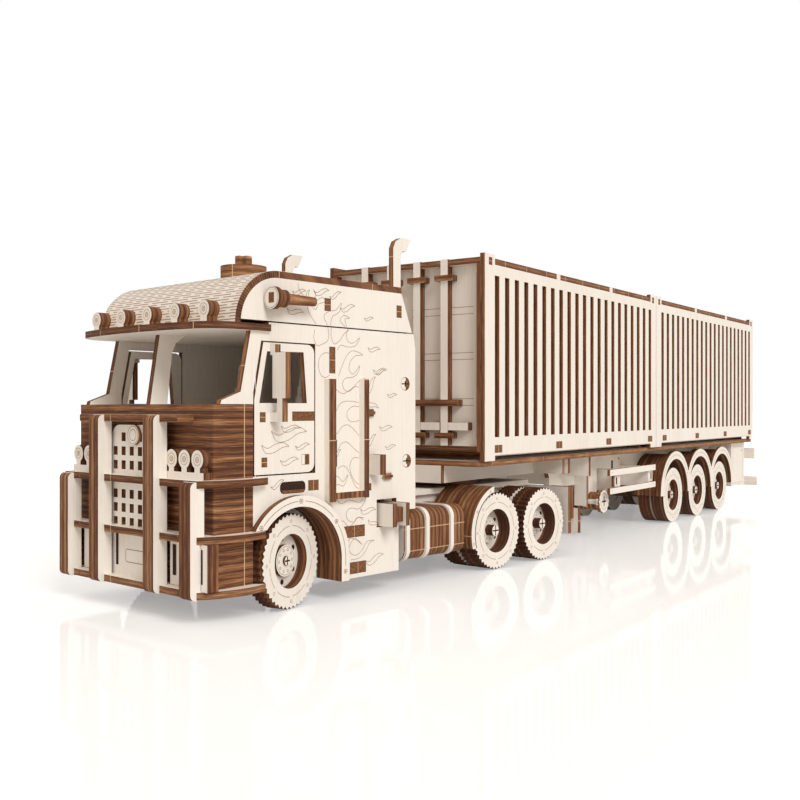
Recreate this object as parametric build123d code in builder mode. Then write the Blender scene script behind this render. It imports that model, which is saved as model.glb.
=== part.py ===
from build123d import *
import os
from math import acos, asin, cos, degrees, pi, radians, sin, sqrt

os.makedirs("parts", exist_ok=True)

# A laser-cut plywood model kit of a cab-over road tractor with a container semi-trailer.
# Millimetres. The tractor faces -Y, +X is its left side, +Z is up, and the front axle is at Y = 0.

# Sheet and fits
sheet = 3.0
running = 0.1
free = 0.6
seat = 0.2

# Pose that the joints start from
steer_angle = 12.6
trailer_yaw = 7.1

# Wheels and axles of the tractor
wheel_radius = 21.0
tyre_width = 12.0
tyre_teeth = 44
tooth_depth = 1.2
rim_radius = 12.0
front_recess = 5.0
twin_recess = 8.0
trailer_recess = 6.0
hub_radius = 7.0
axle_radius = 3.0
drive_axles = (150.8, 196.4)
front_tyre_x = 40.0
front_tyre_width = 9.0
outer_tyre_x = 38.0
inner_tyre_x = 24.0
steer_pin_x = 37.0
steer_pin_y = -1.5
steer_pin_radius = 1.5
spindle_radius = 2.0
knuckle_radius = 2.7
wheel_well = 25.0

# Frame of the tractor
rail_x = 16.0
frame_front = -34.0
frame_rear = 221.0
frame_top = 41.0
frame_low = 27.0
hanger_low = 15.0
hanger_half = 7.0
hitch_y = 164.4
hitch_radius = 20.0
hitch_pin_radius = 3.0

# Cab
half_width = 51.4
cab_rear = 81.0
belt_top = 90.0
stack_front = -43.0
stack_rear = -22.6
stack_bottom = 14.0
stack_corner = 1.0
stack_wall = 8.0
post_foot = -39.7
floor_low = 48.4
ceiling_low = 121.0
side_top = 125.0
skirt_low = 9.3
arch_y = 1.5
arch_z = 20.0
arch_radius = 25.3
arch_band = 4.9
lining_tip = 43.5
roof_radius = 23.7
roof_centre_y = -8.5
roof_centre_z = 123.7
roof_rear = 70.8
roof_foot_rear = 78.4

# Doors
door_front = -21.9
door_rear = 12.5
door_low = 60.0
door_high = 116.4
door_slant_top = -17.0
door_slant_z = 92.0
hinge_y = door_front + 0.8
hinge_x = half_width - 0.8
hinge_radius = 0.5
mirror_y = -13.3

# Bull bar
bar_front = -54.0
post_width = 7.6
post_depth = 6.8
outer_post_x = 46.8
inner_post_x = 21.2
plate_front = -51.0
wing_reach = 57.0
wing_rear = -17.0
wing_levels = (11.3, 33.5, 56.0)
bar_low = 11.0

# Trailer, Y from the front face of the containers
pin_setback = 41.0
deck_low = 57.0
container_length = 249.3
container_gap = 0.4
container_half = 52.65
lining = 2.0
container_inner = container_half - sheet - lining
post_low = 60.0
post_high = 171.0
post_tab = 10.8
panel_low = 62.6
panel_high = 165.7
roof_high = 169.0
floor_z = 65.0
slots = 21
slot_width = 5.0
slot_pitch = 11.2
slot_first = 10.6
slot_low = 72.7
slot_high = 159.9
beam_x = 22.0
neck_low = 47.3
beam_low = 36.0
neck_end = 125.0
trailer_axles = (302.0, 359.6, 417.2)
trailer_outer_x = 37.0
trailer_inner_x = 26.2
trailer_tyre = 9.5
deck_rear = 505.0
leg_y = 178.0
leg_z = 25.0

trailer_place = Location((0, hitch_y, 0), (0, 0, trailer_yaw)) * Location((0, -pin_setback, 0))


# A box between low and high limits on each axis, inside the part that calls it
def block(x, y, z, mode=Mode.ADD):
    with Locations(((x[0] + x[1]) / 2, (y[0] + y[1]) / 2, (z[0] + z[1]) / 2)):
        Box(x[1] - x[0], y[1] - y[0], z[1] - z[0], mode=mode)


# A round bar along X from x0 to x1
def rod_x(x0, x1, y, z, radius, mode=Mode.ADD):
    with Locations(Location(((x0 + x1) / 2, y, z), (0, 90, 0))):
        Cylinder(radius, x1 - x0, mode=mode)


# A round bar along Y from y0 to y1
def rod_y(x, y0, y1, z, radius, mode=Mode.ADD):
    with Locations(Location((x, (y0 + y1) / 2, z), (90, 0, 0))):
        Cylinder(radius, y1 - y0, mode=mode)


# A round bar along Z from z0 to z1
def rod_z(x, y, z0, z1, radius, mode=Mode.ADD):
    with Locations((x, y, (z0 + z1) / 2)):
        Cylinder(radius, z1 - z0, mode=mode)


# Low and high limits on one side of the vehicle, from distances to the centre plane
def sided(side, near, far):
    return (near, far) if side > 0 else (-far, -near)


# Corners of a tyre: teeth as a zigzag between the tip and root circles
def tooth_corners(radius, teeth, depth):
    corners = []
    for step in range(2 * teeth):
        reach = radius if step % 2 == 0 else radius - depth
        turn = pi * step / teeth
        corners.append((reach * cos(turn), reach * sin(turn)))
    return corners


# One tyre with its open centre, from x0 outwards, with its axle on the line y, z
def tyre(x0, width, y, z, teeth):
    with BuildSketch(Plane.YZ.offset(x0)) as ring:
        with Locations((y, z)):
            if teeth:
                Polygon(*tooth_corners(wheel_radius, teeth, tooth_depth), align=None)
            else:
                Circle(wheel_radius)
            Circle(rim_radius, mode=Mode.SUBTRACT)
    extrude(ring.sketch, amount=width)


# The rim plate and hub that close one tyre, set back by `recess` from its face towards `side`
def rim(face_x, side, y, z, recess):
    plate_x = face_x - side * recess
    back = sorted((plate_x, plate_x - side * sheet))
    rod_x(back[0], back[1], y, z, rim_radius)
    front = sorted((plate_x, plate_x + side * 2))
    rod_x(front[0], front[1], y, z, hub_radius)


nodes = {}

# Tractor frame: two side rails with hangers for the drive axles, cross members and a top plate
cross_members = (frame_front, 60.0, 110.0, 172.0, frame_rear - sheet)
with BuildPart() as tractor_frame:
    with BuildSketch(Plane.YZ.offset(rail_x)):
        outline = [(frame_front, frame_top), (frame_front, frame_low)]
        for axle in drive_axles:
            outline += [(axle - 2 * hanger_half, frame_low), (axle - hanger_half, hanger_low)]
            outline += [(axle + hanger_half, hanger_low), (axle + 2 * hanger_half, frame_low)]
        outline += [(frame_rear, frame_low), (frame_rear, frame_top)]
        Polygon(*outline, align=None)
        for axle in drive_axles:
            with Locations((axle, wheel_radius)):
                Circle(axle_radius + running, mode=Mode.SUBTRACT)
    extrude(amount=sheet)
    mirror(about=Plane.YZ)
    for y in cross_members:
        block((-rail_x, rail_x), (y, y + sheet), (frame_low, frame_top))
    block((-22, 22), (cab_rear + sheet, frame_rear), (frame_top, frame_top + sheet))
nodes["tractor_frame"] = tractor_frame

# Fifth wheel: round plate on the frame with the bore for the trailer's pin and a V mouth behind
with BuildPart() as fifth_wheel:
    with BuildSketch(Plane.XY.offset(frame_top + sheet)):
        with Locations((0, hitch_y)):
            Circle(hitch_radius)
            Circle(hitch_pin_radius + running, mode=Mode.SUBTRACT)
        Polygon(
            (-2, hitch_y + hitch_pin_radius + 4),
            (2, hitch_y + hitch_pin_radius + 4),
            (9, hitch_y + hitch_radius + 1),
            (-9, hitch_y + hitch_radius + 1),
            align=None,
            mode=Mode.SUBTRACT,
        )
    extrude(amount=sheet)
nodes["fifth_wheel"] = fifth_wheel

# Front axle beam: two plates that hold the steering pins, with a core block between them
beam_top = frame_low
beam_bottom = 13.0
with BuildPart() as front_axle_beam:
    for low in (beam_bottom, beam_top - sheet):
        with BuildSketch(Plane.XY.offset(low)):
            with Locations((0, steer_pin_y)):
                SlotOverall(2 * (steer_pin_x + knuckle_radius), 2 * knuckle_radius)
                for side in (-1, 1):
                    with Locations((side * steer_pin_x, 0)):
                        Circle(steer_pin_radius + running, mode=Mode.SUBTRACT)
        extrude(amount=sheet)
    block((-30, 30), (steer_pin_y - knuckle_radius, steer_pin_y + knuckle_radius),
          (beam_bottom + sheet, beam_top - sheet))
nodes["front_axle_beam"] = front_axle_beam

# Steering knuckles, each a round block on its pin with a spindle, and the front wheels on them
for side, name in ((1, "left"), (-1, "right")):
    pivot = Location((side * steer_pin_x, steer_pin_y, 0), (0, 0, steer_angle))
    near = front_tyre_x - steer_pin_x
    far = near + front_tyre_width
    with BuildPart() as knuckle:
        rod_z(0, 0, beam_bottom + sheet + seat, beam_top - sheet - seat, knuckle_radius)
        rod_z(0, 0, beam_bottom, beam_top, steer_pin_radius)
        spindle = sided(side, 0, far - 2)
        rod_x(spindle[0], spindle[1], 0, wheel_radius, spindle_radius)
    knuckle.part.locate(pivot)
    nodes["steering_knuckle_" + name] = knuckle
    with BuildPart() as front_wheel:
        ends = sided(side, near, far)
        tyre(ends[0], front_tyre_width, 0, wheel_radius, tyre_teeth)
        rim(side * far, side, 0, wheel_radius, front_recess)
        rod_x(ends[0], ends[1], 0, wheel_radius, spindle_radius + running, mode=Mode.SUBTRACT)
    front_wheel.part.locate(pivot)
    nodes["front_wheel_" + name] = front_wheel

# Drive axles: one shaft with twin toothed tyres at each end
for number, axle in enumerate(drive_axles, start=1):
    with BuildPart() as drive_axle:
        tip = outer_tyre_x + tyre_width
        rod_x(-tip + 1, tip - 1, axle, wheel_radius, axle_radius)
        for side in (-1, 1):
            for near in (outer_tyre_x, inner_tyre_x):
                far = near + tyre_width
                low = near if side > 0 else -far
                tyre(low, tyre_width, axle, wheel_radius, tyre_teeth)
                rim(side * far, side, axle, wheel_radius, twin_recess)
        rod_x(-outer_tyre_x - 1, -inner_tyre_x - tyre_width + 1, axle, wheel_radius, hub_radius)
        rod_x(inner_tyre_x + tyre_width - 1, outer_tyre_x + 1, axle, wheel_radius, hub_radius)
    nodes[f"drive_axle_{number}"] = drive_axle

# Cab floor on two risers that stand on the frame
with BuildPart() as cab_floor:
    inner = half_width - sheet
    block((-inner, inner), (stack_front + stack_wall, cab_rear - sheet), (floor_low, floor_low + sheet))
    for side in (-1, 1):
        centre = side * (rail_x + sheet / 2)
        block((centre - sheet / 2, centre + sheet / 2), (frame_front, cab_rear - sheet), (frame_top, floor_low))
nodes["cab_floor"] = cab_floor

# Cab front: the stack of level sheets, open behind, with a closed top sheet under the windscreen
with BuildPart() as cab_front:
    with BuildSketch(Plane.XY.offset(stack_bottom)):
        with Locations((0, (stack_front + stack_rear) / 2)):
            Rectangle(2 * half_width, stack_rear - stack_front)
        fillet(vertices().group_by(Axis.Y)[0], stack_corner)
        with Locations((0, (stack_front + stack_wall + stack_rear) / 2 + 1)):
            Rectangle(2 * (half_width - sheet), stack_rear - stack_front - stack_wall + 2, mode=Mode.SUBTRACT)
    extrude(amount=belt_top - stack_bottom)
    inner = half_width - sheet
    block((-inner, inner), (stack_front + stack_wall, stack_rear), (belt_top - sheet, belt_top))
nodes["cab_front"] = cab_front


# Cab side: skirt, wheel arch, door opening, pillar and step notch in one panel
def cab_side_panel(side):
    x0 = half_width - sheet if side > 0 else -half_width
    with BuildSketch(Plane.YZ.offset(x0)) as outline:
        Polygon(
            (stack_rear, 34),
            (stack_rear, belt_top),
            (post_foot, belt_top),
            (post_foot + 0.5, belt_top + 1.6),
            (-29.2, 95.2),
            (-23.8, ceiling_low),
            (-14, ceiling_low),
            (-14, side_top),
            (79.5, side_top),
            (cab_rear, 118),
            (cab_rear, 38.5),
            (73.7, 38.5),
            (73.7, 31.5),
            (68.6, 31.5),
            (68.6, skirt_low),
            (arch_y + arch_radius, skirt_low),
            (arch_y + arch_radius, arch_z),
            (arch_y, arch_z),
            align=None,
        )
        with Locations((arch_y, arch_z)):
            Circle(arch_radius, mode=Mode.SUBTRACT)
        with Locations((arch_y, 8)):
            Rectangle(2 * arch_radius, 24, mode=Mode.SUBTRACT)
        with BuildLine():
            Polyline(
                (stack_rear - 0.1, door_low - free),
                (door_rear + free, door_low - free),
                (door_rear + free, door_high + free),
                (door_slant_top - 2 * free, door_high + free),
                (door_front - free, door_slant_z + 3),
                (door_front - free, belt_top),
                (stack_rear - 0.1, belt_top),
                close=True,
            )
        make_face(mode=Mode.SUBTRACT)
        with Locations((60, 38.1)):
            Rectangle(14, 13.2, mode=Mode.SUBTRACT)
    extrude(outline.sketch, amount=sheet)
    for z0, z1 in ((door_low - free - 4, door_low), (96, 106)):
        rod_z(side * hinge_x, hinge_y, z0, z1, hinge_radius + running, mode=Mode.SUBTRACT)


with BuildPart() as cab_side_left:
    cab_side_panel(1)
nodes["cab_side_left"] = cab_side_left
with BuildPart() as cab_side_right:
    cab_side_panel(-1)
nodes["cab_side_right"] = cab_side_right

# Cab back wall
with BuildPart() as cab_back:
    inner = half_width - sheet
    block((-inner, inner), (cab_rear - sheet, cab_rear), (frame_top + sheet, ceiling_low))
nodes["cab_back"] = cab_back

# Windscreen post: an upright sheet on the centre plane, leaning back and flared at the top
with BuildPart() as windscreen_post:
    with BuildSketch(Plane.YZ.offset(-sheet / 2)):
        Polygon(
            (post_foot, belt_top),
            (post_foot + 9.0, belt_top),
            (post_foot + 11.5, 113.0),
            (post_foot + 13.5, 117.5),
            (post_foot + 18.5, ceiling_low),
            (post_foot + 5.0, ceiling_low),
            align=None,
        )
    extrude(amount=sheet)
nodes["windscreen_post"] = windscreen_post

# Visor and ceiling sheet
with BuildPart() as visor:
    with BuildSketch(Plane.XY.offset(ceiling_low)):
        with BuildLine():
            Polyline((-53, -14), (-53, -28))
            ThreePointArc((-53, -28), (-50.2, -39), (-42, -45.5))
            ThreePointArc((-42, -45.5), (0, -50), (42, -45.5))
            ThreePointArc((42, -45.5), (50.2, -39), (53, -28))
            Polyline((53, -28), (53, -14), (half_width - sheet, -14))
            Polyline((half_width - sheet, -14), (half_width - sheet, cab_rear), (sheet - half_width, cab_rear))
            Polyline((sheet - half_width, cab_rear), (sheet - half_width, -14), (-53, -14))
        make_face()
    extrude(amount=sheet)
nodes["visor"] = visor

# Marker lamps along the visor, each a disc on a neck with a stack behind it
lamp_x = (-41.2, -20.6, 0.0, 20.6, 41.2)
lamp_front = -40.5
lamp_depth = 5.5
lamp_radius = 3.7
visor_top = ceiling_low + sheet
with BuildPart() as marker_lamps:
    for x in lamp_x:
        rod_y(x, lamp_front, lamp_front + lamp_depth, visor_top + 5.6, lamp_radius)
        block((x - 2.2, x + 2.2), (lamp_front, lamp_front + lamp_depth), (visor_top, visor_top + 5.6))
nodes["marker_lamps"] = marker_lamps

# Roof: bent skin with its front curve, and the leaning closing panel behind
roof_inner = roof_radius - sheet
roof_top = roof_centre_z + roof_radius
foot_turn = asin((visor_top + seat - roof_centre_z) / roof_radius)
foot_turn_inner = asin((visor_top + seat - roof_centre_z) / roof_inner)
with BuildPart() as roof_skin:
    with BuildSketch(Plane.YZ.offset(-half_width)):
        with BuildLine():
            outer_foot = (roof_centre_y - roof_radius * cos(foot_turn), visor_top + seat)
            inner_foot = (roof_centre_y - roof_inner * cos(foot_turn_inner), visor_top + seat)
            mid = sqrt(0.5)
            ThreePointArc(
                outer_foot,
                (roof_centre_y - roof_radius * mid, roof_centre_z + roof_radius * mid),
                (roof_centre_y, roof_top),
            )
            Polyline((roof_centre_y, roof_top), (roof_rear, roof_top), (roof_rear, roof_top - sheet))
            Line((roof_rear, roof_top - sheet), (roof_centre_y, roof_top - sheet))
            ThreePointArc(
                (roof_centre_y, roof_top - sheet),
                (roof_centre_y - roof_inner * mid, roof_centre_z + roof_inner * mid),
                inner_foot,
            )
            Line(inner_foot, outer_foot)
        make_face()
    extrude(amount=2 * half_width)
    inner = half_width - sheet
    with BuildSketch(Plane.YZ.offset(-inner)):
        Polygon(
            (roof_rear - sheet, roof_top - sheet),
            (roof_rear, roof_top - sheet),
            (roof_foot_rear, visor_top + seat),
            (roof_foot_rear - sheet, visor_top + seat),
            align=None,
        )
    extrude(amount=2 * inner)
nodes["roof_skin"] = roof_skin


# Roof side panels under the skin's edge
def roof_side_panel(x0):
    with BuildSketch(Plane.YZ.offset(x0)) as outline:
        low = side_top + free
        turn = asin((low - roof_centre_z) / roof_inner)
        with BuildLine():
            foot = (roof_centre_y - roof_inner * cos(turn), low)
            ThreePointArc(
                foot,
                (roof_centre_y - roof_inner * mid, roof_centre_z + roof_inner * mid),
                (roof_centre_y, roof_top - sheet),
            )
            Polyline(
                (roof_centre_y, roof_top - sheet),
                (roof_rear, roof_top - sheet),
                (roof_foot_rear, low),
                foot,
            )
        make_face()
    extrude(outline.sketch, amount=sheet)


with BuildPart() as roof_sides:
    roof_side_panel(half_width - sheet)
    roof_side_panel(-half_width)
nodes["roof_sides"] = roof_sides

# Beacon on the roof: stacked discs with a crossed grip
beacon_y = 14.0
with BuildPart() as beacon:
    rod_z(0, beacon_y, roof_top, roof_top + 9, 11)
    block((-4, 4), (beacon_y - 1.5, beacon_y + 1.5), (roof_top + 9, roof_top + 14))
    block((-1.5, 1.5), (beacon_y - 4, beacon_y + 4), (roof_top + 9, roof_top + 14))
nodes["beacon"] = beacon

# Exhaust stacks at the back of the roof, with tips hooked rearwards
stack_x = 39.0
with BuildPart() as exhaust_stacks:
    for side in (-1, 1):
        x0 = stack_x if side > 0 else -stack_x - sheet
        with BuildSketch(Plane.YZ.offset(x0)):
            Polygon(
                (78.6, visor_top),
                (80.5, visor_top),
                (80.5, 164.5),
                (82.0, 167.5),
                (84.5, 167.5),
                (88.0, 174.0),
                (80.5, 174.0),
                (76.8, 172.0),
                (75.0, 168.5),
                (75.1, 134.9),
                align=None,
            )
        extrude(amount=sheet)
nodes["exhaust_stacks"] = exhaust_stacks

# Air horns on the roof sides: a bell disc facing forward, a collar and a tapering trumpet on a foot
horn_x = half_width + 5.2
horn_z = 135.0
with BuildPart() as air_horns:
    for side in (-1, 1):
        x = side * horn_x
        with BuildSketch(Plane.XZ.offset(9.5)):
            with Locations((x, horn_z)):
                Circle(2.5)
        with BuildSketch(Plane.XZ.offset(-7.6)):
            with Locations((x, horn_z)):
                Circle(2.0)
        loft()
        rod_y(x, -17.0, -14.5, horn_z, 4.8)
        rod_y(x, -14.5, -9.5, horn_z, 3.8)
        block(sided(side, half_width, horn_x), (-9, -6), (horn_z - 1.5, horn_z + 1.5))
nodes["air_horns"] = air_horns


# Bull bar plate: follows the stack's front and reaches round its corners as a curved wing
def wing_plate(low):
    with BuildSketch(Plane.XY.offset(low)) as outline:
        with BuildLine():
            Polyline((-50.6, plate_front), (50.6, plate_front))
            ThreePointArc((50.6, plate_front), (wing_reach - 0.6, -36), (54.5, wing_rear))
            Polyline((54.5, wing_rear), (half_width, wing_rear), (half_width, stack_front), (-half_width, stack_front))
            Polyline((-half_width, stack_front), (-half_width, wing_rear), (-54.5, wing_rear))
            ThreePointArc((-54.5, wing_rear), (0.6 - wing_reach, -36), (-50.6, plate_front))
        make_face()
    extrude(outline.sketch, amount=sheet)


with BuildPart() as bull_bar:
    for low in wing_levels:
        wing_plate(low)
    block((-38, 38), (plate_front, stack_front), (82.5, 85.5))
    # columns: centre x, top z
    for x, top in ((-outer_post_x, 58.5), (-inner_post_x, 85.5), (inner_post_x, 85.5), (outer_post_x, 58.5)):
        with BuildSketch(Plane.YZ.offset(x - post_width / 2)):
            with Locations(((bar_front + bar_front + post_depth) / 2, (bar_low + top) / 2)):
                Rectangle(post_depth, top - bar_low)
            fillet(vertices().group_by(Axis.X)[0], 2.6)
        extrude(amount=post_width)
    for side in (-1, 1):
        rod_z(side * steer_pin_x, steer_pin_y, bar_low - 1, 40, wheel_well, mode=Mode.SUBTRACT)
nodes["bull_bar"] = bull_bar

# Grille: plate with an arched top, rows of square holes, a blank round badge and a blank plate below
grille_half = 19.6
grille_top = 81.0
grille_front = stack_front - sheet
hole_columns = (-16.0, -9.6, -3.2, 3.2, 9.6, 16.0)
hole_rows = (75.6, 69.4, 63.2, 50.4, 44.2, 38.0)
with BuildPart() as grille:
    with BuildSketch(Plane.XZ.offset(-stack_front)):
        with Locations((0, (grille_top + wing_levels[0] + sheet) / 2)):
            Rectangle(2 * grille_half, grille_top - wing_levels[0] - sheet)
        fillet(vertices().group_by(Axis.Y)[-1], 7.0)
        for z in hole_rows:
            for x in hole_columns:
                if not (z > 75 and abs(x) > 15):
                    with Locations((x, z)):
                        Rectangle(3.2, 3.9, mode=Mode.SUBTRACT)
        for z in wing_levels[1:]:
            with Locations((0, z + sheet / 2)):
                Rectangle(2 * grille_half + 2, sheet, mode=Mode.SUBTRACT)
    extrude(amount=sheet)
    rod_y(0, grille_front - 1.5, grille_front + 0.5, 76.6, 4.4)
nodes["grille"] = grille

# Headlamps: three discs on a bar on each wing of the bull bar
headlamp_x = (28.0, 36.9, 45.8)
headlamp_front = -47.1
headlamp_z = 67.3
wing_top = wing_levels[2] + sheet
with BuildPart() as headlamps:
    for side in (-1, 1):
        ends = sorted((side * 24.0, side * 50.0))
        block(ends, (headlamp_front, stack_front), (wing_top, wing_top + sheet))
        for x in headlamp_x:
            rod_y(side * x, headlamp_front, stack_front, headlamp_z, 3.9)
            block((side * x - 1.8, side * x + 1.8), (headlamp_front, stack_front),
                  (wing_top + sheet, headlamp_z))
nodes["headlamps"] = headlamps

# Front fenders: outer band with its foot and tip, and the bent lining of the arch
with BuildPart() as front_fenders:
    for side in (-1, 1):
        for x0, depth, band in ((half_width, sheet, arch_band), (37.5, half_width - sheet - 37.5, sheet)):
            start = x0 if side > 0 else -x0 - depth
            with BuildSketch(Plane.YZ.offset(start)):
                with Locations((arch_y, arch_z)):
                    Circle(arch_radius + band)
                with Locations((arch_y + arch_radius + band / 2, (arch_z + skirt_low) / 2)):
                    Rectangle(band, arch_z - skirt_low)
                with Locations((arch_y, arch_z)):
                    Circle(arch_radius, mode=Mode.SUBTRACT)
                with Locations((arch_y, arch_z - 20)):
                    Rectangle(2 * arch_radius, 40, mode=Mode.SUBTRACT)
                with Locations((arch_y, skirt_low - 20)):
                    Rectangle(80, 40, mode=Mode.SUBTRACT)
                front_cut = -25.0 if depth == sheet else stack_rear
                with Locations((front_cut - 20, arch_z)):
                    Rectangle(40, 80, mode=Mode.SUBTRACT)
                tip_low = wing_levels[1] + sheet + seat if depth == sheet else lining_tip
                with Locations((arch_y - 30, tip_low - 20)):
                    Rectangle(40, 40, mode=Mode.SUBTRACT)
            extrude(amount=depth)
nodes["front_fenders"] = front_fenders

# Upright fins and step ledge on the cab sides
# fin front y, rear y, low z, high z
fins = ((18.6, 23.0, 45.7, 101.6), (41.2, 44.5, 46.6, 102.0))
with BuildPart() as side_fins:
    for side in (-1, 1):
        x = (half_width, half_width + 3.3) if side > 0 else (-half_width - 3.3, -half_width)
        for y0, y1, z0, z1 in fins:
            block(x, (y0, y1), (z0, z1))
        block(x, (23.0, 41.2), (47.0, 50.0))
nodes["side_fins"] = side_fins

# Cab steps: laminated boxes in the notch and beside the rear fin
# front y, rear y, low z, high z, reach
steps = ((54.6, 57.6, 32.0, 43.0, 9.0), (64.0, 66.6, 32.0, 43.0, 9.0), (48.0, 52.0, 57.0, 66.5, 7.0))
with BuildPart() as cab_steps:
    for side in (-1, 1):
        for y0, y1, z0, z1, reach in steps:
            inner = half_width - 8 if z0 < 50 else half_width
            x = (inner, half_width + reach) if side > 0 else (-half_width - reach, -inner)
            block(x, (y0, y1), (z0, z1))
        x = (half_width - 8, half_width + 7) if side > 0 else (-half_width - 7, 8 - half_width)
        block(x, (57.6, 64.0), (34.0, 41.0))
        x = (half_width - 12, half_width - 8) if side > 0 else (8 - half_width, 12 - half_width)
        block(x, (54.6, 66.6), (32.0, floor_low))
nodes["cab_steps"] = cab_steps

# Fuel tanks behind the cab skirts: rounded boxes with straps
tank_front = 74.0
tank_rear = 122.0
tank_low = 12.5
tank_high = 37.6
with BuildPart() as fuel_tanks:
    for side in (-1, 1):
        centre_x = side * (rail_x + sheet + 50) / 2
        width = 50 - rail_x - sheet
        for y0, y1, grow in ((tank_front, tank_rear, 0), (75.0, 77.5, 1), (90.0, 92.5, 1), (109.5, 112.0, 1)):
            with BuildSketch(Plane.XZ.offset(-y1)):
                with Locations((centre_x + side * grow / 2, (tank_low + tank_high) / 2)):
                    RectangleRounded(width + grow, tank_high - tank_low + grow, 6)
            extrude(amount=y1 - y0)
nodes["fuel_tanks"] = fuel_tanks

# Rear fenders over the front of the first drive axle: bent lining and outer band
with BuildPart() as rear_fenders:
    for side in (-1, 1):
        for x0, x1, r0, r1 in ((22.0, 50.2, 22.4, 25.4), (50.2, 52.2, 22.0, 25.4)):
            start = x0 if side > 0 else -x1
            with BuildSketch(Plane.YZ.offset(start)):
                with Locations((drive_axles[0], wheel_radius)):
                    Circle(r1)
                    Circle(r0, mode=Mode.SUBTRACT)
                with Locations((drive_axles[0] + 20 - 5.5, wheel_radius)):
                    Rectangle(40, 60, mode=Mode.SUBTRACT)
                with Locations((drive_axles[0], wheel_radius - 7.5 - 15)):
                    Rectangle(60, 30, mode=Mode.SUBTRACT)
            extrude(amount=x1 - x0)
nodes["rear_fenders"] = rear_fenders

# Tail: cross plate with hanging flaps and stepped layers behind
with BuildPart() as tail_panels:
    block((-51, 51), (frame_rear, frame_rear + sheet), (30, 41))
    for side in (-1, 1):
        # low x, high x, layer, low z, high z
        for x0, x1, layer, z0, z1 in ((24, 51, 0, 13, 41), (36, 51, 1, 22, 41), (44, 54, 2, 13, 28)):
            x = (x0, x1) if side > 0 else (-x1, -x0)
            y0 = frame_rear + layer * sheet
            block(x, (y0, y0 + sheet), (z0, z1))
nodes["tail_panels"] = tail_panels

# Seats: two slatted seats with headrests
with BuildPart() as seats:
    for side in (-1, 1):
        centre = side * 24
        with BuildSketch(Plane.YZ.offset(centre - 9)):
            Polygon(
                (2, floor_low + sheet),
                (34, floor_low + sheet),
                (34, 64),
                (40, 98),
                (42, 110),
                (37.5, 110),
                (36, 98),
                (29, 68),
                (2, 66),
                align=None,
            )
        extrude(amount=18)
nodes["seats"] = seats

# Dashboard sheet with a console box
with BuildPart() as dashboard:
    inner = half_width - sheet
    block((-inner, inner), (-20, -8), (78, 81))
    block((-inner, inner), (-20, -17), (floor_low + sheet, 78))
    block((-6, 6), (-8, 6), (floor_low + sheet, 84))
nodes["dashboard"] = dashboard

# Steering wheel on its column
with BuildPart() as steering_wheel:
    tilted = Plane(origin=(24, -6, 87), x_dir=(1, 0, 0), z_dir=(0, 0.6, 0.8))
    with BuildSketch(tilted):
        Circle(8)
        Circle(5.8, mode=Mode.SUBTRACT)
        Rectangle(13, 2)
        Rectangle(2, 13)
    extrude(amount=2)
    with BuildSketch(tilted):
        Circle(1.5)
    extrude(amount=-6.35)
nodes["steering_wheel"] = steering_wheel


# Cab door with its window, hinge pins, handle bar and mirror on the outside
def door(side):
    x0 = half_width - sheet if side > 0 else -half_width
    with BuildSketch(Plane.YZ.offset(x0)) as outline:
        Polygon(
            (door_front, door_low),
            (door_rear, door_low),
            (door_rear, door_high),
            (door_slant_top, door_high),
            (door_front, door_slant_z),
            align=None,
        )
        fillet(vertices().group_by(Axis.X)[-1], 4.0)
        with BuildLine():
            Polyline((-19.2, 90.5), (8.0, 90.5), (6.0, 113.0), (-14.9, 112.6), close=True)
        make_face(mode=Mode.SUBTRACT)
    extrude(outline.sketch, amount=sheet)
    rod_z(side * hinge_x, hinge_y, door_low - free - 3, door_low + 2, hinge_radius)
    rod_z(side * hinge_x, hinge_y, 93, 103, hinge_radius)
    outer = half_width
    # low x, high x, low y, high y, low z, high z of the mirror's parts
    for x_low, x_high, y_low, y_high, z_low, z_high in (
        (1.6, 10.0, mirror_y, mirror_y + sheet, 92.5, 112.0),
        (0.0, 3.4, mirror_y, mirror_y + sheet, 111.0, 115.6),
        (4.6, 8.0, mirror_y, mirror_y + sheet, 82.5, 92.5),
        (0.0, 8.0, mirror_y, mirror_y + sheet, 82.5, 86.5),
    ):
        x = (outer + x_low, outer + x_high) if side > 0 else (-outer - x_high, -outer - x_low)
        block(x, (y_low, y_high), (z_low, z_high))


for side, name in ((1, "left"), (-1, "right")):
    with BuildPart() as cab_door:
        door(side)
    nodes["cab_door_" + name] = cab_door

# Trailer frame: two side plates with the raised neck and axle hangers, cross plates and a pin plate
with BuildPart() as trailer_frame:
    with BuildSketch(Plane.YZ.offset(beam_x)):
        with BuildLine():
            Polyline((0, deck_low), (0, neck_low), (neck_end, neck_low))
            ThreePointArc((neck_end, neck_low), (neck_end + 4.2, neck_low - 1.8), (neck_end + 6, neck_low - 6))
            corners = [(neck_end + 6, neck_low - 6), (neck_end + 6, beam_low)]
            for axle in trailer_axles:
                corners += [(axle - 2 * hanger_half, beam_low), (axle - hanger_half, hanger_low)]
                corners += [(axle + hanger_half, hanger_low), (axle + 2 * hanger_half, beam_low)]
            corners += [(497, beam_low), (497, deck_low), (0, deck_low)]
            Polyline(*corners)
        make_face()
        for axle in trailer_axles:
            with Locations((axle, wheel_radius)):
                Circle(axle_radius + running, mode=Mode.SUBTRACT)
    extrude(amount=sheet)
    mirror(about=Plane.YZ)
    for y in (0, 92, 160, 260, 330, 388, 450, 494):
        low = neck_low if y < neck_end else beam_low
        block((-beam_x, beam_x), (y, y + sheet), (low, deck_low))
    block((-beam_x, beam_x), (sheet, 92), (neck_low, neck_low + sheet))
nodes["trailer_frame"] = trailer_frame

# Kingpin of the trailer
with BuildPart() as kingpin:
    rod_z(0, pin_setback, frame_top + sheet + 0.3, neck_low, hitch_pin_radius)
nodes["kingpin"] = kingpin

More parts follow.
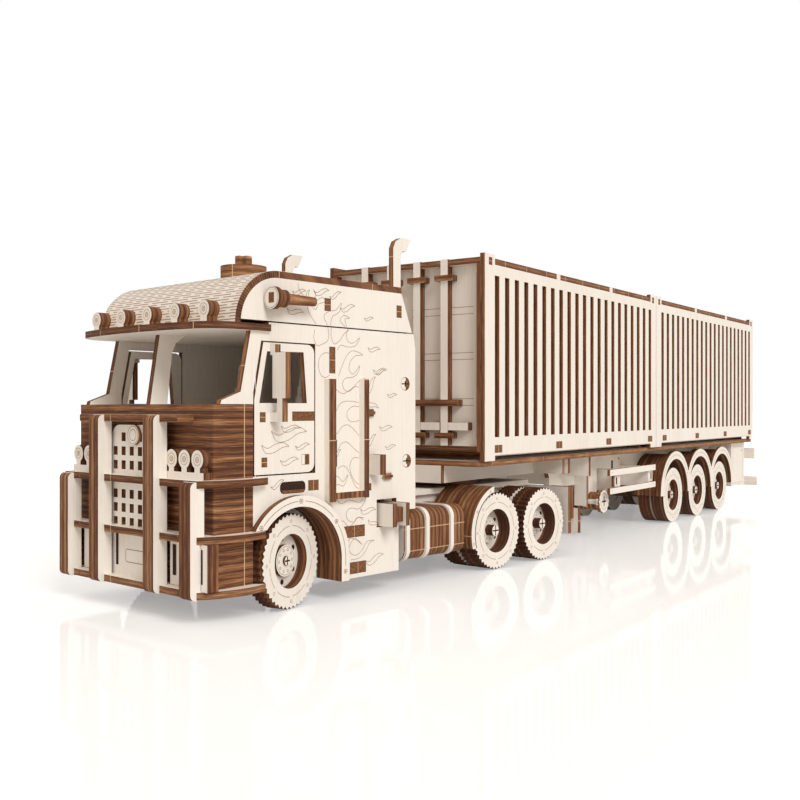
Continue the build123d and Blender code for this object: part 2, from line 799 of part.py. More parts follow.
# Deck sheet under the containers
with BuildPart() as trailer_deck:
    with BuildSketch(Plane.XY.offset(deck_low)):
        with Locations((0, deck_rear / 2)):
            Rectangle(2 * 50.0, deck_rear)
        fillet(vertices(), 3)
    extrude(amount=post_low - deck_low)
nodes["trailer_deck"] = trailer_deck

# Raised support legs: bracket plates, drum of discs and outer disc on each side
with BuildPart() as landing_gear:
    for side in (-1, 1):
        def across(x0, x1):
            return (x0, x1) if side > 0 else (-x1, -x0)

        block(across(beam_x + sheet, 46), (146, 149), (44, deck_low))
        block(across(beam_x + sheet, 45), (109, 112), (neck_low, deck_low))
        block(across(beam_x + sheet, 45), (117, 120), (neck_low, deck_low))
        block(across(beam_x + sheet, 34), (leg_y - 9, leg_y - 6), (leg_z - 3, deck_low))
        block(across(30, 33), (leg_y - 6, leg_y + 10), (leg_z - 4, deck_low))
        ends = across(beam_x + sheet, 40)
        rod_x(ends[0], ends[1], leg_y, leg_z, 6.2)
        ends = across(40, 42)
        rod_x(ends[0], ends[1], leg_y, leg_z, 7.6)
nodes["landing_gear"] = landing_gear

# Side guards between the legs and the first axle
with BuildPart() as side_guards:
    for side in (-1, 1):
        for z0, z1 in ((30.2, 34.2), (42.6, 46.8)):
            x = (47, 49) if side > 0 else (-49, -47)
            block(x, (174, 258), (z0, z1))
        for y in (192, 248):
            x = (beam_x + sheet, 47) if side > 0 else (-47, -beam_x - sheet)
            block(x, (y, y + 4), (31, 46))
nodes["trailer_side_guards"] = side_guards

# Trailer fenders: three bent linings with light outer bands that merge between the wheels
fender_outer = 33.0
fender_inner = 27.0
with BuildPart() as trailer_fenders:
    for side in (-1, 1):
        for x0, x1, r0, r1 in ((beam_x + sheet, 47, fender_inner + 0.6, 30.6), (47, 49, fender_inner, fender_outer)):
            start = x0 if side > 0 else -x1
            with BuildSketch(Plane.YZ.offset(start)):
                for axle in trailer_axles:
                    with Locations((axle, wheel_radius + 1)):
                        Circle(r1)
                for axle in trailer_axles:
                    with Locations((axle, wheel_radius + 1)):
                        Circle(r0, mode=Mode.SUBTRACT)
                with Locations((trailer_axles[1], wheel_radius + 1 - 20)):
                    Rectangle(260, 40, mode=Mode.SUBTRACT)
            extrude(amount=x1 - x0)
nodes["trailer_fenders"] = trailer_fenders

# Tail boxes at the back of the trailer
with BuildPart() as tail_boxes:
    for side in (-1, 1):
        x = (beam_x + sheet, 45) if side > 0 else (-45, -beam_x - sheet)
        block(x, (457, 497), (17.5, deck_low))
nodes["trailer_tail_boxes"] = tail_boxes

# Rear bumper: upright tabs behind the boxes and the two bars across them
with BuildPart() as rear_bumper:
    for side in (-1, 1):
        block(sided(side, 38, 41), (497, deck_rear), (16, 51))
    # half width, low z, high z
    for reach, z0, z1 in ((52, 41, 51), (54.5, 16, 24)):
        block((-reach, reach), (deck_rear, deck_rear + sheet), (z0, z1))
nodes["rear_bumper"] = rear_bumper

# Trailer axles: one shaft with twin smooth tyres at each end
for number, axle in enumerate(trailer_axles, start=1):
    with BuildPart() as trailer_axle:
        tip = trailer_outer_x + trailer_tyre
        rod_x(-tip + 1, tip - 1, axle, wheel_radius, axle_radius)
        for side in (-1, 1):
            for near in (trailer_outer_x, trailer_inner_x):
                far = near + trailer_tyre
                low = near if side > 0 else -far
                tyre(low, trailer_tyre, axle, wheel_radius, 0)
                rim(side * far, side, axle, wheel_radius, trailer_recess)
        rod_x(-trailer_outer_x - 1, -trailer_inner_x - trailer_tyre + 1, axle, wheel_radius, hub_radius)
        rod_x(trailer_inner_x + trailer_tyre - 1, trailer_outer_x + 1, axle, wheel_radius, hub_radius)
    nodes[f"trailer_axle_{number}"] = trailer_axle


# A container side: slotted panel on a closed lining, with corner tabs from the deck to the corner tops
def container_side(side, start):
    middle = start + container_length / 2
    limits = sided(side, container_half - sheet, container_half)
    with BuildSketch(Plane.YZ.offset(limits[0])) as outline:
        with Locations((middle, (panel_low + panel_high) / 2)):
            Rectangle(container_length, panel_high - panel_low)
        for y in (start + post_tab / 2, start + container_length - post_tab / 2):
            with Locations((y, (post_low + post_high) / 2)):
                Rectangle(post_tab, post_high - post_low)
        for number in range(slots):
            y = start + slot_first + slot_width / 2 + number * slot_pitch
            with Locations((y, (slot_low + slot_high) / 2)):
                Rectangle(slot_width, slot_high - slot_low, mode=Mode.SUBTRACT)
    extrude(outline.sketch, amount=sheet)
    block(sided(side, container_inner, container_half - sheet), (start, start + container_length),
          (floor_z, panel_high))


# Lock rods at the container's ends, each with two cams, a handle and a bar across all of them
rod_places = (9.0, 27.0)
rod_half = 2.3
rod_depth = 4.6
cam_half = 5.5
cam_depth = 6.0
handle_length = 15.0

door_face = 2 * container_length + container_gap
door_pin_radius = 0.8
door_hinge_x = container_inner - free - sheet / 2
door_hinge_y = door_face - sheet / 2

# One container: sides, roof, floor and the wall at its closed end
inner = container_half - sheet
for name, start in (("front", 0.0), ("rear", container_length + container_gap)):
    with BuildPart() as sides:
        container_side(1, start)
        container_side(-1, start)
    nodes[f"container_{name}_sides"] = sides
    end = start + container_length
    with BuildPart() as roof:
        block((-container_half, container_half), (start + post_tab, end - post_tab), (panel_high, roof_high))
        block((-inner, inner), (start, end), (panel_high, roof_high))
        if name == "front":
            for place in rod_places:
                for x in (place, -place):
                    block((x - rod_half, x + rod_half), (start, start + rod_depth),
                          (panel_high, roof_high), mode=Mode.SUBTRACT)
        if name == "rear":
            for x in (door_hinge_x, -door_hinge_x):
                rod_z(x, door_hinge_y, panel_high, roof_high, door_pin_radius + running, mode=Mode.SUBTRACT)
    nodes[f"container_{name}_roof"] = roof
    with BuildPart() as floor:
        block((-container_inner, container_inner), (start, end), (floor_z, floor_z + sheet))
        for y in (start + 20, end - 20):
            block((-container_inner, container_inner), (y - sheet / 2, y + sheet / 2), (post_low, floor_z))
        if name == "rear":
            for x in (door_hinge_x, -door_hinge_x):
                rod_z(x, door_hinge_y, floor_z, floor_z + sheet, door_pin_radius + running, mode=Mode.SUBTRACT)
    nodes[f"container_{name}_floor"] = floor
    wall = end - sheet if name == "front" else start
    with BuildPart() as end_wall:
        block((-container_inner, container_inner), (wall, wall + sheet), (floor_z + sheet, panel_high))
    nodes[f"container_{name}_end_wall"] = end_wall

# Fixed doors at the front of the front container, set back between its corner posts behind their rods
with BuildPart() as front_doors:
    block((-container_inner, container_inner), (rod_depth, rod_depth + sheet), (floor_z + sheet, panel_high))
    for side in (-1, 1):
        for place in rod_places:
            x = side * place
            block((x - rod_half, x + rod_half), (0, rod_depth), (floor_z + sheet, roof_high + 0.4))
            for z in (73.5, 159.2):
                block((x - cam_half, x + cam_half), (rod_depth - cam_depth, rod_depth), (z - 1.5, z + 1.5))
            block((x, x + handle_length), (0.2, rod_depth), (76.4, 80.6))
    block((-36, 36), (rod_depth - cam_depth, rod_depth), (89.5, 93.0))
nodes["container_front_doors"] = front_doors

# Rear doors: two leaves hinged at the container's rear corners, with the same rods
for side, name in ((1, "left"), (-1, "right")):
    with BuildPart() as leaf_part:
        leaf_z = (floor_z + sheet + free, panel_high - free)
        block(sided(side, free / 2, door_hinge_x), (door_face - sheet, door_face), leaf_z)
        rod_z(side * door_hinge_x, door_hinge_y, leaf_z[0], leaf_z[1], sheet / 2)
        rod_z(side * door_hinge_x, door_hinge_y, floor_z, roof_high, door_pin_radius)
        for place in rod_places:
            x = side * place
            block((x - rod_half, x + rod_half), (door_face, door_face + rod_depth),
                  (floor_z + sheet + free, panel_high - free))
            for z in (73.5, 159.2):
                block((x - cam_half, x + cam_half), (door_face, door_face + cam_depth - 1), (z - 1.5, z + 1.5))
            block(sided(side, place, place + handle_length), (door_face, door_face + rod_depth), (76.4, 80.6))
    nodes[f"container_door_{name}"] = leaf_part

trailer_names = [
    name
    for name in nodes
    if name.startswith(("trailer_", "container_")) or name in ("kingpin", "landing_gear", "rear_bumper")
]
for name in trailer_names:
    nodes[name].part.locate(trailer_place * nodes[name].part.location)

# The origin is the centre of the whole outline on the floor
boxes = [node.part.bounding_box() for node in nodes.values()]
middle_x = (min(box.min.X for box in boxes) + max(box.max.X for box in boxes)) / 2
middle_y = (min(box.min.Y for box in boxes) + max(box.max.Y for box in boxes)) / 2
floor_level = min(box.min.Z for box in boxes)
origin_shift = Location((-middle_x, -middle_y, -floor_level))

for name, node in nodes.items():
    node.part.label = name
    node.part.locate(origin_shift * node.part.location)
    export_step(node.part, f"parts/{name}.step")
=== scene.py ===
import math

import bmesh
import bpy
from mathutils import Matrix, Vector


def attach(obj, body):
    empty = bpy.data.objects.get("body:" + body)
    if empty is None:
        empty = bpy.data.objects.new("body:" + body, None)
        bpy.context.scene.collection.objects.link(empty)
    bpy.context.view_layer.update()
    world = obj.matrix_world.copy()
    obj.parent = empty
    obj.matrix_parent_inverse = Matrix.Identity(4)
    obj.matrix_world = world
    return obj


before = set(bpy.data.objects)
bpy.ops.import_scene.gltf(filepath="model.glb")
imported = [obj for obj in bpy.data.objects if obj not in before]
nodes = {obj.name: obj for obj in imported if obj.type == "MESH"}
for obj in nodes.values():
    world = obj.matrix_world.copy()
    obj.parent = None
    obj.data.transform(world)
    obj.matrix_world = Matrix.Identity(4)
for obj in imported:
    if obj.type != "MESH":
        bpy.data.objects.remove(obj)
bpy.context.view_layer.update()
mm = 0.001
sides = ((1, "left"), (-1, "right"))

# Where the tractor's front axle stands in the row frame, and the camera's place seen from there
axle_point = Vector((0.025202, -0.290278, 0.0))
camera_offset = Vector((0.3793, -0.2933, 0.088))
view_direction = Vector((-0.6704, 0.742, 0.0))

camera_data = bpy.data.cameras.new("camera")
camera_data.lens = 45
camera_data.sensor_width = 36
camera_data.shift_y = 0.0111
camera_data.clip_start = 0.01
camera = bpy.data.objects.new("camera", camera_data)
bpy.context.collection.objects.link(camera)
camera.location = axle_point + camera_offset
camera.rotation_euler = view_direction.to_track_quat("-Z", "Y").to_euler()
bpy.context.scene.camera = camera

# Turns of the trailer and the front wheels at rest, and where the hitch, kingpin and steering pins
# stand: in millimetres from the front axle, but for the kingpin from the front of the containers
trailer_turn = math.radians(7.1)
steer_turn = math.radians(12.6)
hitch_y = 164.4
kingpin_y = 41.0
steering_x = 37.0
steering_y = -1.5


# A frame moved in millimetres and turned about Z
def moved(x, y, turn=0.0):
    return Matrix.Translation(Vector((x, y, 0)) * mm) @ Matrix.Rotation(turn, 4, "Z")


# Frames of the pieces at rest: from the front axle for the tractor, from the front of the containers
# for the trailer, and from each steering pin for the front wheels
tractor = Matrix.Translation(axle_point)
trailer = tractor @ moved(0, hitch_y, trailer_turn) @ moved(0, -kingpin_y)
wheel_bases = {name: tractor @ moved(side * steering_x, steering_y, steer_turn) for side, name in sides}

# Millimetres. Outer faces on either side, as distances in X from the middle
sheet = 3.0
cab_face = 51.4
fender_band_face = 54.4
rear_fender_face = 52.2
container_face = 52.65
# Nearer the middle than this, the containers' interior is painted dark brown: painted shade
container_shaded_inside = 49.75
guard_face = 49.0
pad_face = 46.9
landing_disc_face = 42.8
tail_box_face = 45.0
rail_face = 25.0
# Faces square to Y
grille_face = -46.0
badge_face = -47.5
corner_board_face = -49.0
marker_lamp_face = -40.5
headlamp_face = -47.1
horn_face = -17.0
front_doors_face = 4.6
rear_doors_face = 499.0
# Axles, the arc of the front fender band, the bend of the roof and the starts of both containers
axle_height = 21
drive_ys = (150.8, 196.4)
trailer_ys = (302.0, 359.6, 417.2)
arch_centre = (1.5, 20)
bend_centre = (-8.5, 123.7)
bend_radius = 23.7
container_starts = (0.0, 249.7)
# How far marks of each kind stand above the face they lie on, and the width of a pale bridge mark
patch_lift = 0.05
line_lift = 0.06
outline_lift = 0.07
bridge_lift = 0.08
slot_lift = 0.1
bridge_width = 0.42

# Colours of the laser-cut plywood, in linear light
cream = (0.865, 0.80, 0.725, 1)
cream_grain = (0.815, 0.74, 0.655, 1)
burn_dark = (0.050, 0.017, 0.008, 1)
burn_brown = (0.112, 0.038, 0.015, 1)
burn_tan = (0.28, 0.120, 0.048, 1)
burn_light = (0.52, 0.30, 0.15, 1)
engraved = (0.44, 0.29, 0.17, 1)
tick_tone = (0.68, 0.46, 0.27, 1)
# Painted shade: dark browns for the containers' shaded interior, seen through the slots in their sides
interior_shade_dark = (0.13, 0.045, 0.018, 1)
interior_shade_light = (0.24, 0.095, 0.040, 1)
# Painted shade: near black for the shade inside slots, holes, gaps and cuts
slot_shade_black = (0.015, 0.007, 0.004, 1)

# How far the tyres' burnt edges are darkened, and the far end of a zone without a high limit
tyre_char = 0.14
far_limit = 1000.0
# How square to a sheet axis a face must lie to be veneer; above 1 none does
veneer_edge = 0.96
all_burnt = 2.0
# Roughness of burnt edges and, from low to high, of veneer; bump strength and depth in metres
burnt_rough = 0.74
veneer_rough = (0.50, 0.68)
bump_strength = 0.35
bump_depth = 0.0002


# A shader node with its inputs in order, each a number, a colour or another node's output
def shade(tree, kind, values=(), **settings):
    node = tree.nodes.new("ShaderNode" + kind)
    for key, value in settings.items():
        setattr(node, key, value)
    for place, value in enumerate(values):
        if isinstance(value, bpy.types.NodeSocket):
            tree.links.new(value, node.inputs[place])
        elif value is not None:
            node.inputs[place].default_value = value
    return node.outputs[0]


def calc(tree, operation, *values):
    return shade(tree, "Math", values, operation=operation)


# Mixes two colours or two numbers by an amount from 0 to 1
def mix(tree, amount, first, second, kind="RGBA"):
    node = tree.nodes.new("ShaderNodeMix")
    node.data_type = kind
    slots = (0, 6, 7) if kind == "RGBA" else (0, 2, 3)
    for place, value in zip(slots, (amount, first, second)):
        if isinstance(value, bpy.types.NodeSocket):
            tree.links.new(value, node.inputs[place])
        else:
            node.inputs[place].default_value = value
    return node.outputs[2 if kind == "RGBA" else 0]


def ramp(tree, amount, stops):
    node = tree.nodes.new("ShaderNodeValToRGB")
    while len(node.color_ramp.elements) < len(stops):
        node.color_ramp.elements.new(0.5)
    for element, (place, colour) in zip(node.color_ramp.elements, stops):
        element.position = place
        element.color = colour
    tree.links.new(amount, node.inputs[0])
    return node.outputs[0]


# Noise of scale 1 at a place, as a number from 0 to 1
def noise(tree, place, detail, roughness):
    return shade(tree, "TexNoise", (place, None, 1.0, detail, roughness))


# A spot with each of its coordinates scaled
def stretched(tree, spot, scales):
    parts = [calc(tree, "MULTIPLY", spot[axis], scale) for axis, scale in zip("xyz", scales)]
    return shade(tree, "CombineXYZ", parts)


# A new material with the piece's own position in millimetres and its normal, in a base frame
def start_material(name, base):
    material = bpy.data.materials.new(name)
    material.use_nodes = True
    tree = material.node_tree
    source = tree.nodes.new("ShaderNodeTexCoord")
    turn = base.to_euler().z
    place = tree.nodes.new("ShaderNodeMapping")
    place.vector_type = "TEXTURE"
    place.inputs["Location"].default_value = base.translation
    place.inputs["Rotation"].default_value = (0, 0, turn)
    place.inputs["Scale"].default_value = (mm, mm, mm)
    tree.links.new(source.outputs["Object"], place.inputs["Vector"])
    facing = tree.nodes.new("ShaderNodeMapping")
    facing.vector_type = "VECTOR"
    facing.inputs["Rotation"].default_value = (0, 0, -turn)
    tree.links.new(source.outputs["Normal"], facing.inputs["Vector"])
    spots = []
    for output in (place.outputs[0], facing.outputs[0]):
        split = tree.nodes.new("ShaderNodeSeparateXYZ")
        tree.links.new(output, split.inputs[0])
        spots.append(dict(zip("xyz", split.outputs)))
    return material, tree, spots[0], spots[1]


# Pale veneer: faint long grain with slow changes of tone
def veneer(tree, spot, grain):
    lines = noise(tree, stretched(tree, spot, [0.045 if axis == grain else 1.3 for axis in "xyz"]), 3.0, 0.6)
    clouds = noise(tree, stretched(tree, spot, [0.01 if axis == grain else 0.07 for axis in "xyz"]), 2.0, 0.5)
    total = calc(tree, "MULTIPLY_ADD", lines, 0.6, calc(tree, "MULTIPLY", clouds, 0.4))
    return ramp(tree, total, ((0.36, cream_grain), (0.56, cream))), lines


# Burnt edge: sheets of three plies stacked along `layers`, with long streaks
def burnt(tree, spot, layers, seed, char):
    index = calc(tree, "FLOOR", layers)
    across = calc(tree, "ABSOLUTE", calc(tree, "SUBTRACT", calc(tree, "FRACT", layers), 0.5))
    tint = shade(tree, "TexWhiteNoise", (None, calc(tree, "ADD", index, seed)), noise_dimensions="1D")
    total = calc(tree, "ADD", calc(tree, "ADD", spot["x"], spot["y"]), spot["z"])
    along = calc(tree, "MULTIPLY", calc(tree, "MULTIPLY_ADD", layers, -sheet, total), 0.075)
    place = shade(tree, "CombineXYZ", (calc(tree, "MULTIPLY", layers, 7.0), along, seed))
    streaks = noise(tree, place, 4.0, 0.62)
    core = shade(tree, "MapRange", (across, 0.20, 0.10, 0.0, 1.0))
    joint = shade(tree, "MapRange", (across, 0.42, 0.5, 0.0, 1.0))
    tone = calc(tree, "MULTIPLY_ADD", tint, 0.22, calc(tree, "MULTIPLY", streaks, 0.95))
    tone = calc(tree, "MULTIPLY_ADD", core, 0.10, tone)
    tone = calc(tree, "MULTIPLY_ADD", joint, -0.30, calc(tree, "SUBTRACT", tone, char))
    stops = ((0.30, burn_dark), (0.52, burn_brown), (0.72, burn_tan), (0.92, burn_light))
    return ramp(tree, tone, stops), tone


# Plywood whose sheets lie square to the axes in `faces`: those faces are veneer, all others burnt
# edge. Each zone gives a test (axis, sign or "abs", limit or low and high) and the faces, stack axis
# and start there; the faces "all" stand for bare wood and "none" for burnt edge all round. `ticks`
# are pale bridge marks: an axis, their spacing and the first. `char` darkens the burnt edges, `bent`
# is a sheet with its burnt edges square to `faces`, and nearer the middle in X than the last argument
# the wood is painted dark brown: painted shade of the shaded interior.
def plywood(name, faces, base=tractor, start=0.0, ticks=None, zones=(), grain=None,
            edge=veneer_edge, char=0.0, bent=False, shaded_inside=None):
    material, tree, spot, facing = start_material(name, base)
    seed = float(sum(map(ord, name)) % 89)
    size = {axis: calc(tree, "ABSOLUTE", facing[axis]) for axis in "xyz"}

    def face_mask(axes):
        mask = calc(tree, "GREATER_THAN", size[axes[0]], edge)
        for axis in axes[1:]:
            mask = calc(tree, "MAXIMUM", mask, calc(tree, "GREATER_THAN", size[axis], edge))
        return mask

    def stack(axis, low):
        return calc(tree, "MULTIPLY", calc(tree, "SUBTRACT", spot[axis], low), 1 / sheet)

    mask = face_mask(faces)
    layers = stack(faces[0], start)
    for axis, sign, limit, zone_faces, stack_axis, low in zones:
        amount = spot[axis]
        if sign == "abs":
            amount = calc(tree, "ABSOLUTE", amount)
        elif sign == "-":
            amount = calc(tree, "MULTIPLY", amount, -1.0)
        low_limit, high_limit = limit if isinstance(limit, tuple) else (limit, far_limit)
        inside = calc(tree, "GREATER_THAN", amount, low_limit)
        inside = calc(tree, "MULTIPLY", inside, calc(tree, "LESS_THAN", amount, high_limit))
        if zone_faces in ("all", "none"):
            zone_mask = 1.0 if zone_faces == "all" else 0.0
        else:
            zone_mask = face_mask(zone_faces)
        mask = mix(tree, inside, mask, zone_mask, "FLOAT")
        layers = mix(tree, inside, layers, stack(stack_axis, low), "FLOAT")

    pale, lines = veneer(tree, spot, grain or ("x" if faces[0] == "z" else "z"))
    brown, tone = burnt(tree, spot, layers, seed, char)
    if ticks:
        axis, spacing, first = ticks
        run = calc(tree, "MULTIPLY", calc(tree, "SUBTRACT", spot[axis], first), 1 / spacing)
        mark = calc(tree, "LESS_THAN", calc(tree, "FRACT", run), bridge_width / spacing)
        mark = calc(tree, "MULTIPLY", mark, calc(tree, "LESS_THAN", size[axis], 0.6))
        brown = mix(tree, calc(tree, "MULTIPLY", mark, 0.85), brown, tick_tone)
    colour = mix(tree, mask, pale, brown) if bent else mix(tree, mask, brown, pale)
    # Painted shade: inside the walls the wood is coloured dark brown for the shade there, mottled by noise
    if shaded_inside:
        behind = calc(tree, "LESS_THAN", calc(tree, "ABSOLUTE", spot["x"]), shaded_inside)
        shade_mottle = noise(tree, stretched(tree, spot, (0.1, 0.9, 0.04)), 3.0, 0.6)
        colour = mix(tree, behind, colour, ramp(tree, shade_mottle, ((0.35, interior_shade_dark), (0.65, interior_shade_light))))
    shader = tree.nodes["Principled BSDF"]
    tree.links.new(colour, shader.inputs["Base Color"])
    rough = shade(tree, "MapRange", (lines, 0.3, 0.7, *veneer_rough))
    tree.links.new(mix(tree, mask, burnt_rough, rough, "FLOAT"), shader.inputs["Roughness"])
    shader.inputs["Specular IOR Level"].default_value = 0.3
    bump = tree.nodes.new("ShaderNodeBump")
    bump.inputs["Strength"].default_value = bump_strength
    bump.inputs["Distance"].default_value = bump_depth
    height = mix(tree, mask, tone, calc(tree, "MULTIPLY", lines, 0.25), "FLOAT")
    tree.links.new(height, bump.inputs["Height"])
    tree.links.new(bump.outputs[0], shader.inputs["Normal"])
    return material


# Material of a thin mark: a burnt tone or a pale one, broken up by fine noise
def mark_material(name, first, second, rough):
    material, tree, spot, _ = start_material(name, tractor)
    speck = noise(tree, stretched(tree, spot, (1.6, 1.6, 1.6)), 3.0, 0.6)
    shader = tree.nodes["Principled BSDF"]
    tree.links.new(ramp(tree, speck, ((0.35, first), (0.65, second))), shader.inputs["Base Color"])
    shader.inputs["Roughness"].default_value = rough
    shader.inputs["Specular IOR Level"].default_value = 0.25
    return material


# ---- Materials of the CAD nodes ----
# Node names, faces, base frame, start of the stack, ticks, zones, grain
dress = (
    (("cab_side_left", "cab_side_right", "roof_sides"), "x", tractor, 0, ("z", 34.0, 4.0), (), "z"),
    (("windscreen_post",), "x", tractor, -1.5, None, (), "z"),
    (("exhaust_stacks",), "x", tractor, 0, ("z", 26.0, 8.0), (), "z"),
    (("cab_back",), "y", tractor, 78, ("z", 40.0, 20.0), (), "z"),
    (("cab_front",), "z", tractor, 0, ("y", 80.0, -27.4), (), "x"),
    (("cab_floor",), "z", tractor, 48.4, ("y", 60.0, 10.0), (), "y"),
    (("visor",), "z", tractor, 121, ("x", 33.0, 8.0), (), "x"),
    (("beacon",), "z", tractor, 147.4, ("x", 30.0, 4.0), (), "x"),
    (("marker_lamps", "headlamps"), "y", tractor, -40.5, ("z", 60.0, 27.0), (), "z"),
    (("air_horns",), "y", tractor, -17, None, (("y", "", -9.4, "none", "x", 0.4),), "z"),
    (("grille",), "y", tractor, -46, None, (), "z"),
    (("bull_bar",), "xz", tractor, 0, ("x", 33.4, 21.0),
     (("y", "", -60.0, "xz", "z", 11.3), ("y", "-", 51.2, "xz", "x", 0.4),
      ("x", "abs", 50.65, "z", "z", 11.3), ("x", "abs", (37.6, 38.4), "z", "z", 82.5)), "z"),
    (("front_fenders",), "x", tractor, 51.4, ("y", 70.0, -30.0), (), "z"),
    (("rear_fenders",), "x", tractor, 50.2, ("z", 30.0, 20.0), (), "z"),
    (("side_fins",), "yz", tractor, 20.0, ("z", 28.0, 17.5), (), "z"),
    (("cab_steps",), "y", tractor, 54.6, ("z", 40.0, 6.0), (), "z"),
    (("fuel_tanks",), "y", tractor, 74.0, ("z", 11.0, 17.0),
     (("y", "", (74.9, 77.6), "all", "y", 74.0), ("y", "", (89.9, 92.6), "all", "y", 74.0),
      ("y", "", (109.4, 112.1), "all", "y", 74.0)), "z"),
    (("tail_panels",), "y", tractor, 221, ("z", 30.0, 20.0), (), "z"),
    (("tractor_frame",), "xz", tractor, 16, None, (), "y"),
    (("fifth_wheel",), "z", tractor, 44, None, (), "x"),
    (("front_axle_beam",), "z", tractor, 13, None, (), "x"),
    (("dashboard",), "zy", tractor, 78, None, (), "x"),
    (("trailer_frame",), "xy", trailer, 22, None, (("y", "", (-1.0, 3.0), "y", "y", 0.0),), "y"),
    (("trailer_deck",), "z", trailer, 57, ("y", 61.0, 12.0), (), "y"),
    (("landing_gear",), "x", trailer, 40, ("z", 40.0, 25.2),
     (("y", "", (108.0, 150.5), "y", "y", 109.0), ("y", "", (168.9, 172.05), "y", "y", 169.0)), "z"),
    (("trailer_side_guards",), "x", trailer, 47, None,
     (("x", "abs", (0.0, 46.95), "y", "y", 192.0),), "y"),
    (("trailer_fenders",), "x", trailer, 47, ("z", 34.0, 20.0), (), "z"),
    (("trailer_tail_boxes",), "xy", trailer, 45, None, (), "z"),
    (("rear_bumper",), "yx", trailer, 505, ("x", 50.0, 18.0), (), "x"),
    (("container_front_sides", "container_rear_sides"), "x", trailer, 0, None, (), "z"),
    (("container_front_roof", "container_rear_roof"), "z", trailer, 166, ("y", 25.0, 22.0), (), "y"),
    (("container_front_floor", "container_rear_floor"), "z", trailer, 65, ("y", 40.0, 30.0), (), "y"),
    (("container_front_end_wall", "container_rear_end_wall"), "y", trailer, 0, None, (), "z"),
    (("container_front_doors",), "y", trailer, 4.6, None, (("y", "-", 0.2, "z", "z", 0.5),), "z"),
    (("container_door_left", "container_door_right"), "y", trailer, 499, None,
     (("y", "", 503.8, "z", "z", 0.5),), "z"),
    (("front_wheel_left", "steering_knuckle_left"), "x", wheel_bases["left"], 0, None, (), "z"),
    (("front_wheel_right", "steering_knuckle_right"), "x", wheel_bases["right"], 0, None, (), "z"),
    (("drive_axle_1", "drive_axle_2"), "x", tractor, 2, None, (), "z"),
    (("trailer_axle_1", "trailer_axle_2", "trailer_axle_3"), "x", trailer, 1, None, (), "z"),
)
# What some of these add, by the first name of their row
extras = {
    "front_wheel_left": {"char": tyre_char},
    "front_wheel_right": {"char": tyre_char},
    "drive_axle_1": {"char": tyre_char},
    "trailer_axle_1": {"char": tyre_char},
    # The container sides get painted shade on their inside
    "container_front_sides": {"shaded_inside": container_shaded_inside},
}


def wear(name, material):
    for slot in nodes[name].material_slots:
        slot.material = material


for names, *recipe in dress:
    look = plywood("ply_" + names[0], *recipe, **extras.get(names[0], {}))
    for name in names:
        wear(name, look)

# Doors: panel sheets square to X, the mirror outside them square to Y
for side, name in sides:
    zones = (("x", "abs", cab_face + 0.05, "y", "y", -13.3),)
    wear("cab_door_" + name, plywood("ply_cab_door_" + name, "x", zones=zones))

# Bare wood on most slopes of the seats; the steering wheel and kingpin are burnt all round
wear("seats", plywood("ply_seats", "xyz", edge=0.5))
wear("steering_wheel", plywood("ply_steering_wheel", "x", edge=all_burnt))
wear("kingpin", plywood("ply_kingpin", "x", trailer, edge=all_burnt))
wear("roof_skin", plywood("ply_roof_skin", "x", grain="x", bent=True))

inks = {
    "line": mark_material("engraved_line", engraved, burn_tan, 0.7),
    # Burnt tone: the char of tab ends, and painted shade in the horns' mouths
    "dark": mark_material("char_and_hole_shade", burn_brown, burn_tan, 0.75),
    # Near black marks: painted shade in slots, holes, gaps and cuts, over the char of the cut
    "black": mark_material("slot_shade_mark", slot_shade_black, burn_dark, 0.8),
    "pale": mark_material("pale_mark", cream_grain, cream, 0.6),
    "tick": mark_material("bridge_mark", tick_tone, burn_light, 0.65),
}

# ---- Thin marks, gathered per body and tone ----
drawings = {}


def drawing(body, ink):
    return drawings.setdefault((body, ink), bmesh.new())


# A flat place on a body: its base frame, the axis it faces along, its level and which way it faces
class Board:
    def __init__(self, body, base, axis, level, sign):
        self.body, self.base, self.axis, self.level, self.sign = body, base, axis, level, sign

    def spot(self, u, v, lift):
        level = self.level + self.sign * lift
        local = {"x": (level, u, v), "y": (u, level, v), "z": (u, v, level)}[self.axis]
        return self.base @ (Vector(local) * mm)

    def out(self):
        local = [self.sign if axis == self.axis else 0 for axis in "xyz"]
        return self.base.to_3x3() @ Vector(local)


def side_board(body, base, level, side):
    return Board(body, base, "x", level * side, side)


def front_board(level):
    return Board("tractor", tractor, "y", level, -1)


def face(mesh, points, out):
    flat = mesh.faces.new([mesh.verts.new(point) for point in points])
    flat.normal_update()
    if flat.normal.dot(out) < 0:
        flat.normal_flip()


def patch(board, corners, ink="dark", lift=patch_lift):
    face(drawing(board.body, ink), [board.spot(u, v, lift) for u, v in corners], board.out())


# A line of even width through the points
def stroke(board, points, ink="line", width=0.3, closed=False, lift=line_lift):
    count = len(points)
    edges = []
    for index, (u, v) in enumerate(points):
        before = points[index - 1] if closed or index else points[0]
        after = points[(index + 1) % count] if closed or index < count - 1 else points[-1]
        along = Vector((after[0] - before[0], after[1] - before[1]))
        along = along.normalized() if along.length > 1e-6 else Vector((1, 0))
        half = width / 2
        edges.append(((u - along.y * half, v + along.x * half), (u + along.y * half, v - along.x * half)))
    mesh = drawing(board.body, ink)
    for index in range(count if closed else count - 1):
        first, second = edges[index], edges[(index + 1) % count]
        corners = (first[0], first[1], second[1], second[0])
        face(mesh, [board.spot(u, v, lift) for u, v in corners], board.out())


# Points along an arc between two angles in degrees
def around(centre, radius, start=0.0, end=360.0, steps=32):
    turns = [math.radians(start + (end - start) * step / steps) for step in range(steps + 1)]
    return [(centre[0] + radius * math.cos(turn), centre[1] + radius * math.sin(turn)) for turn in turns]


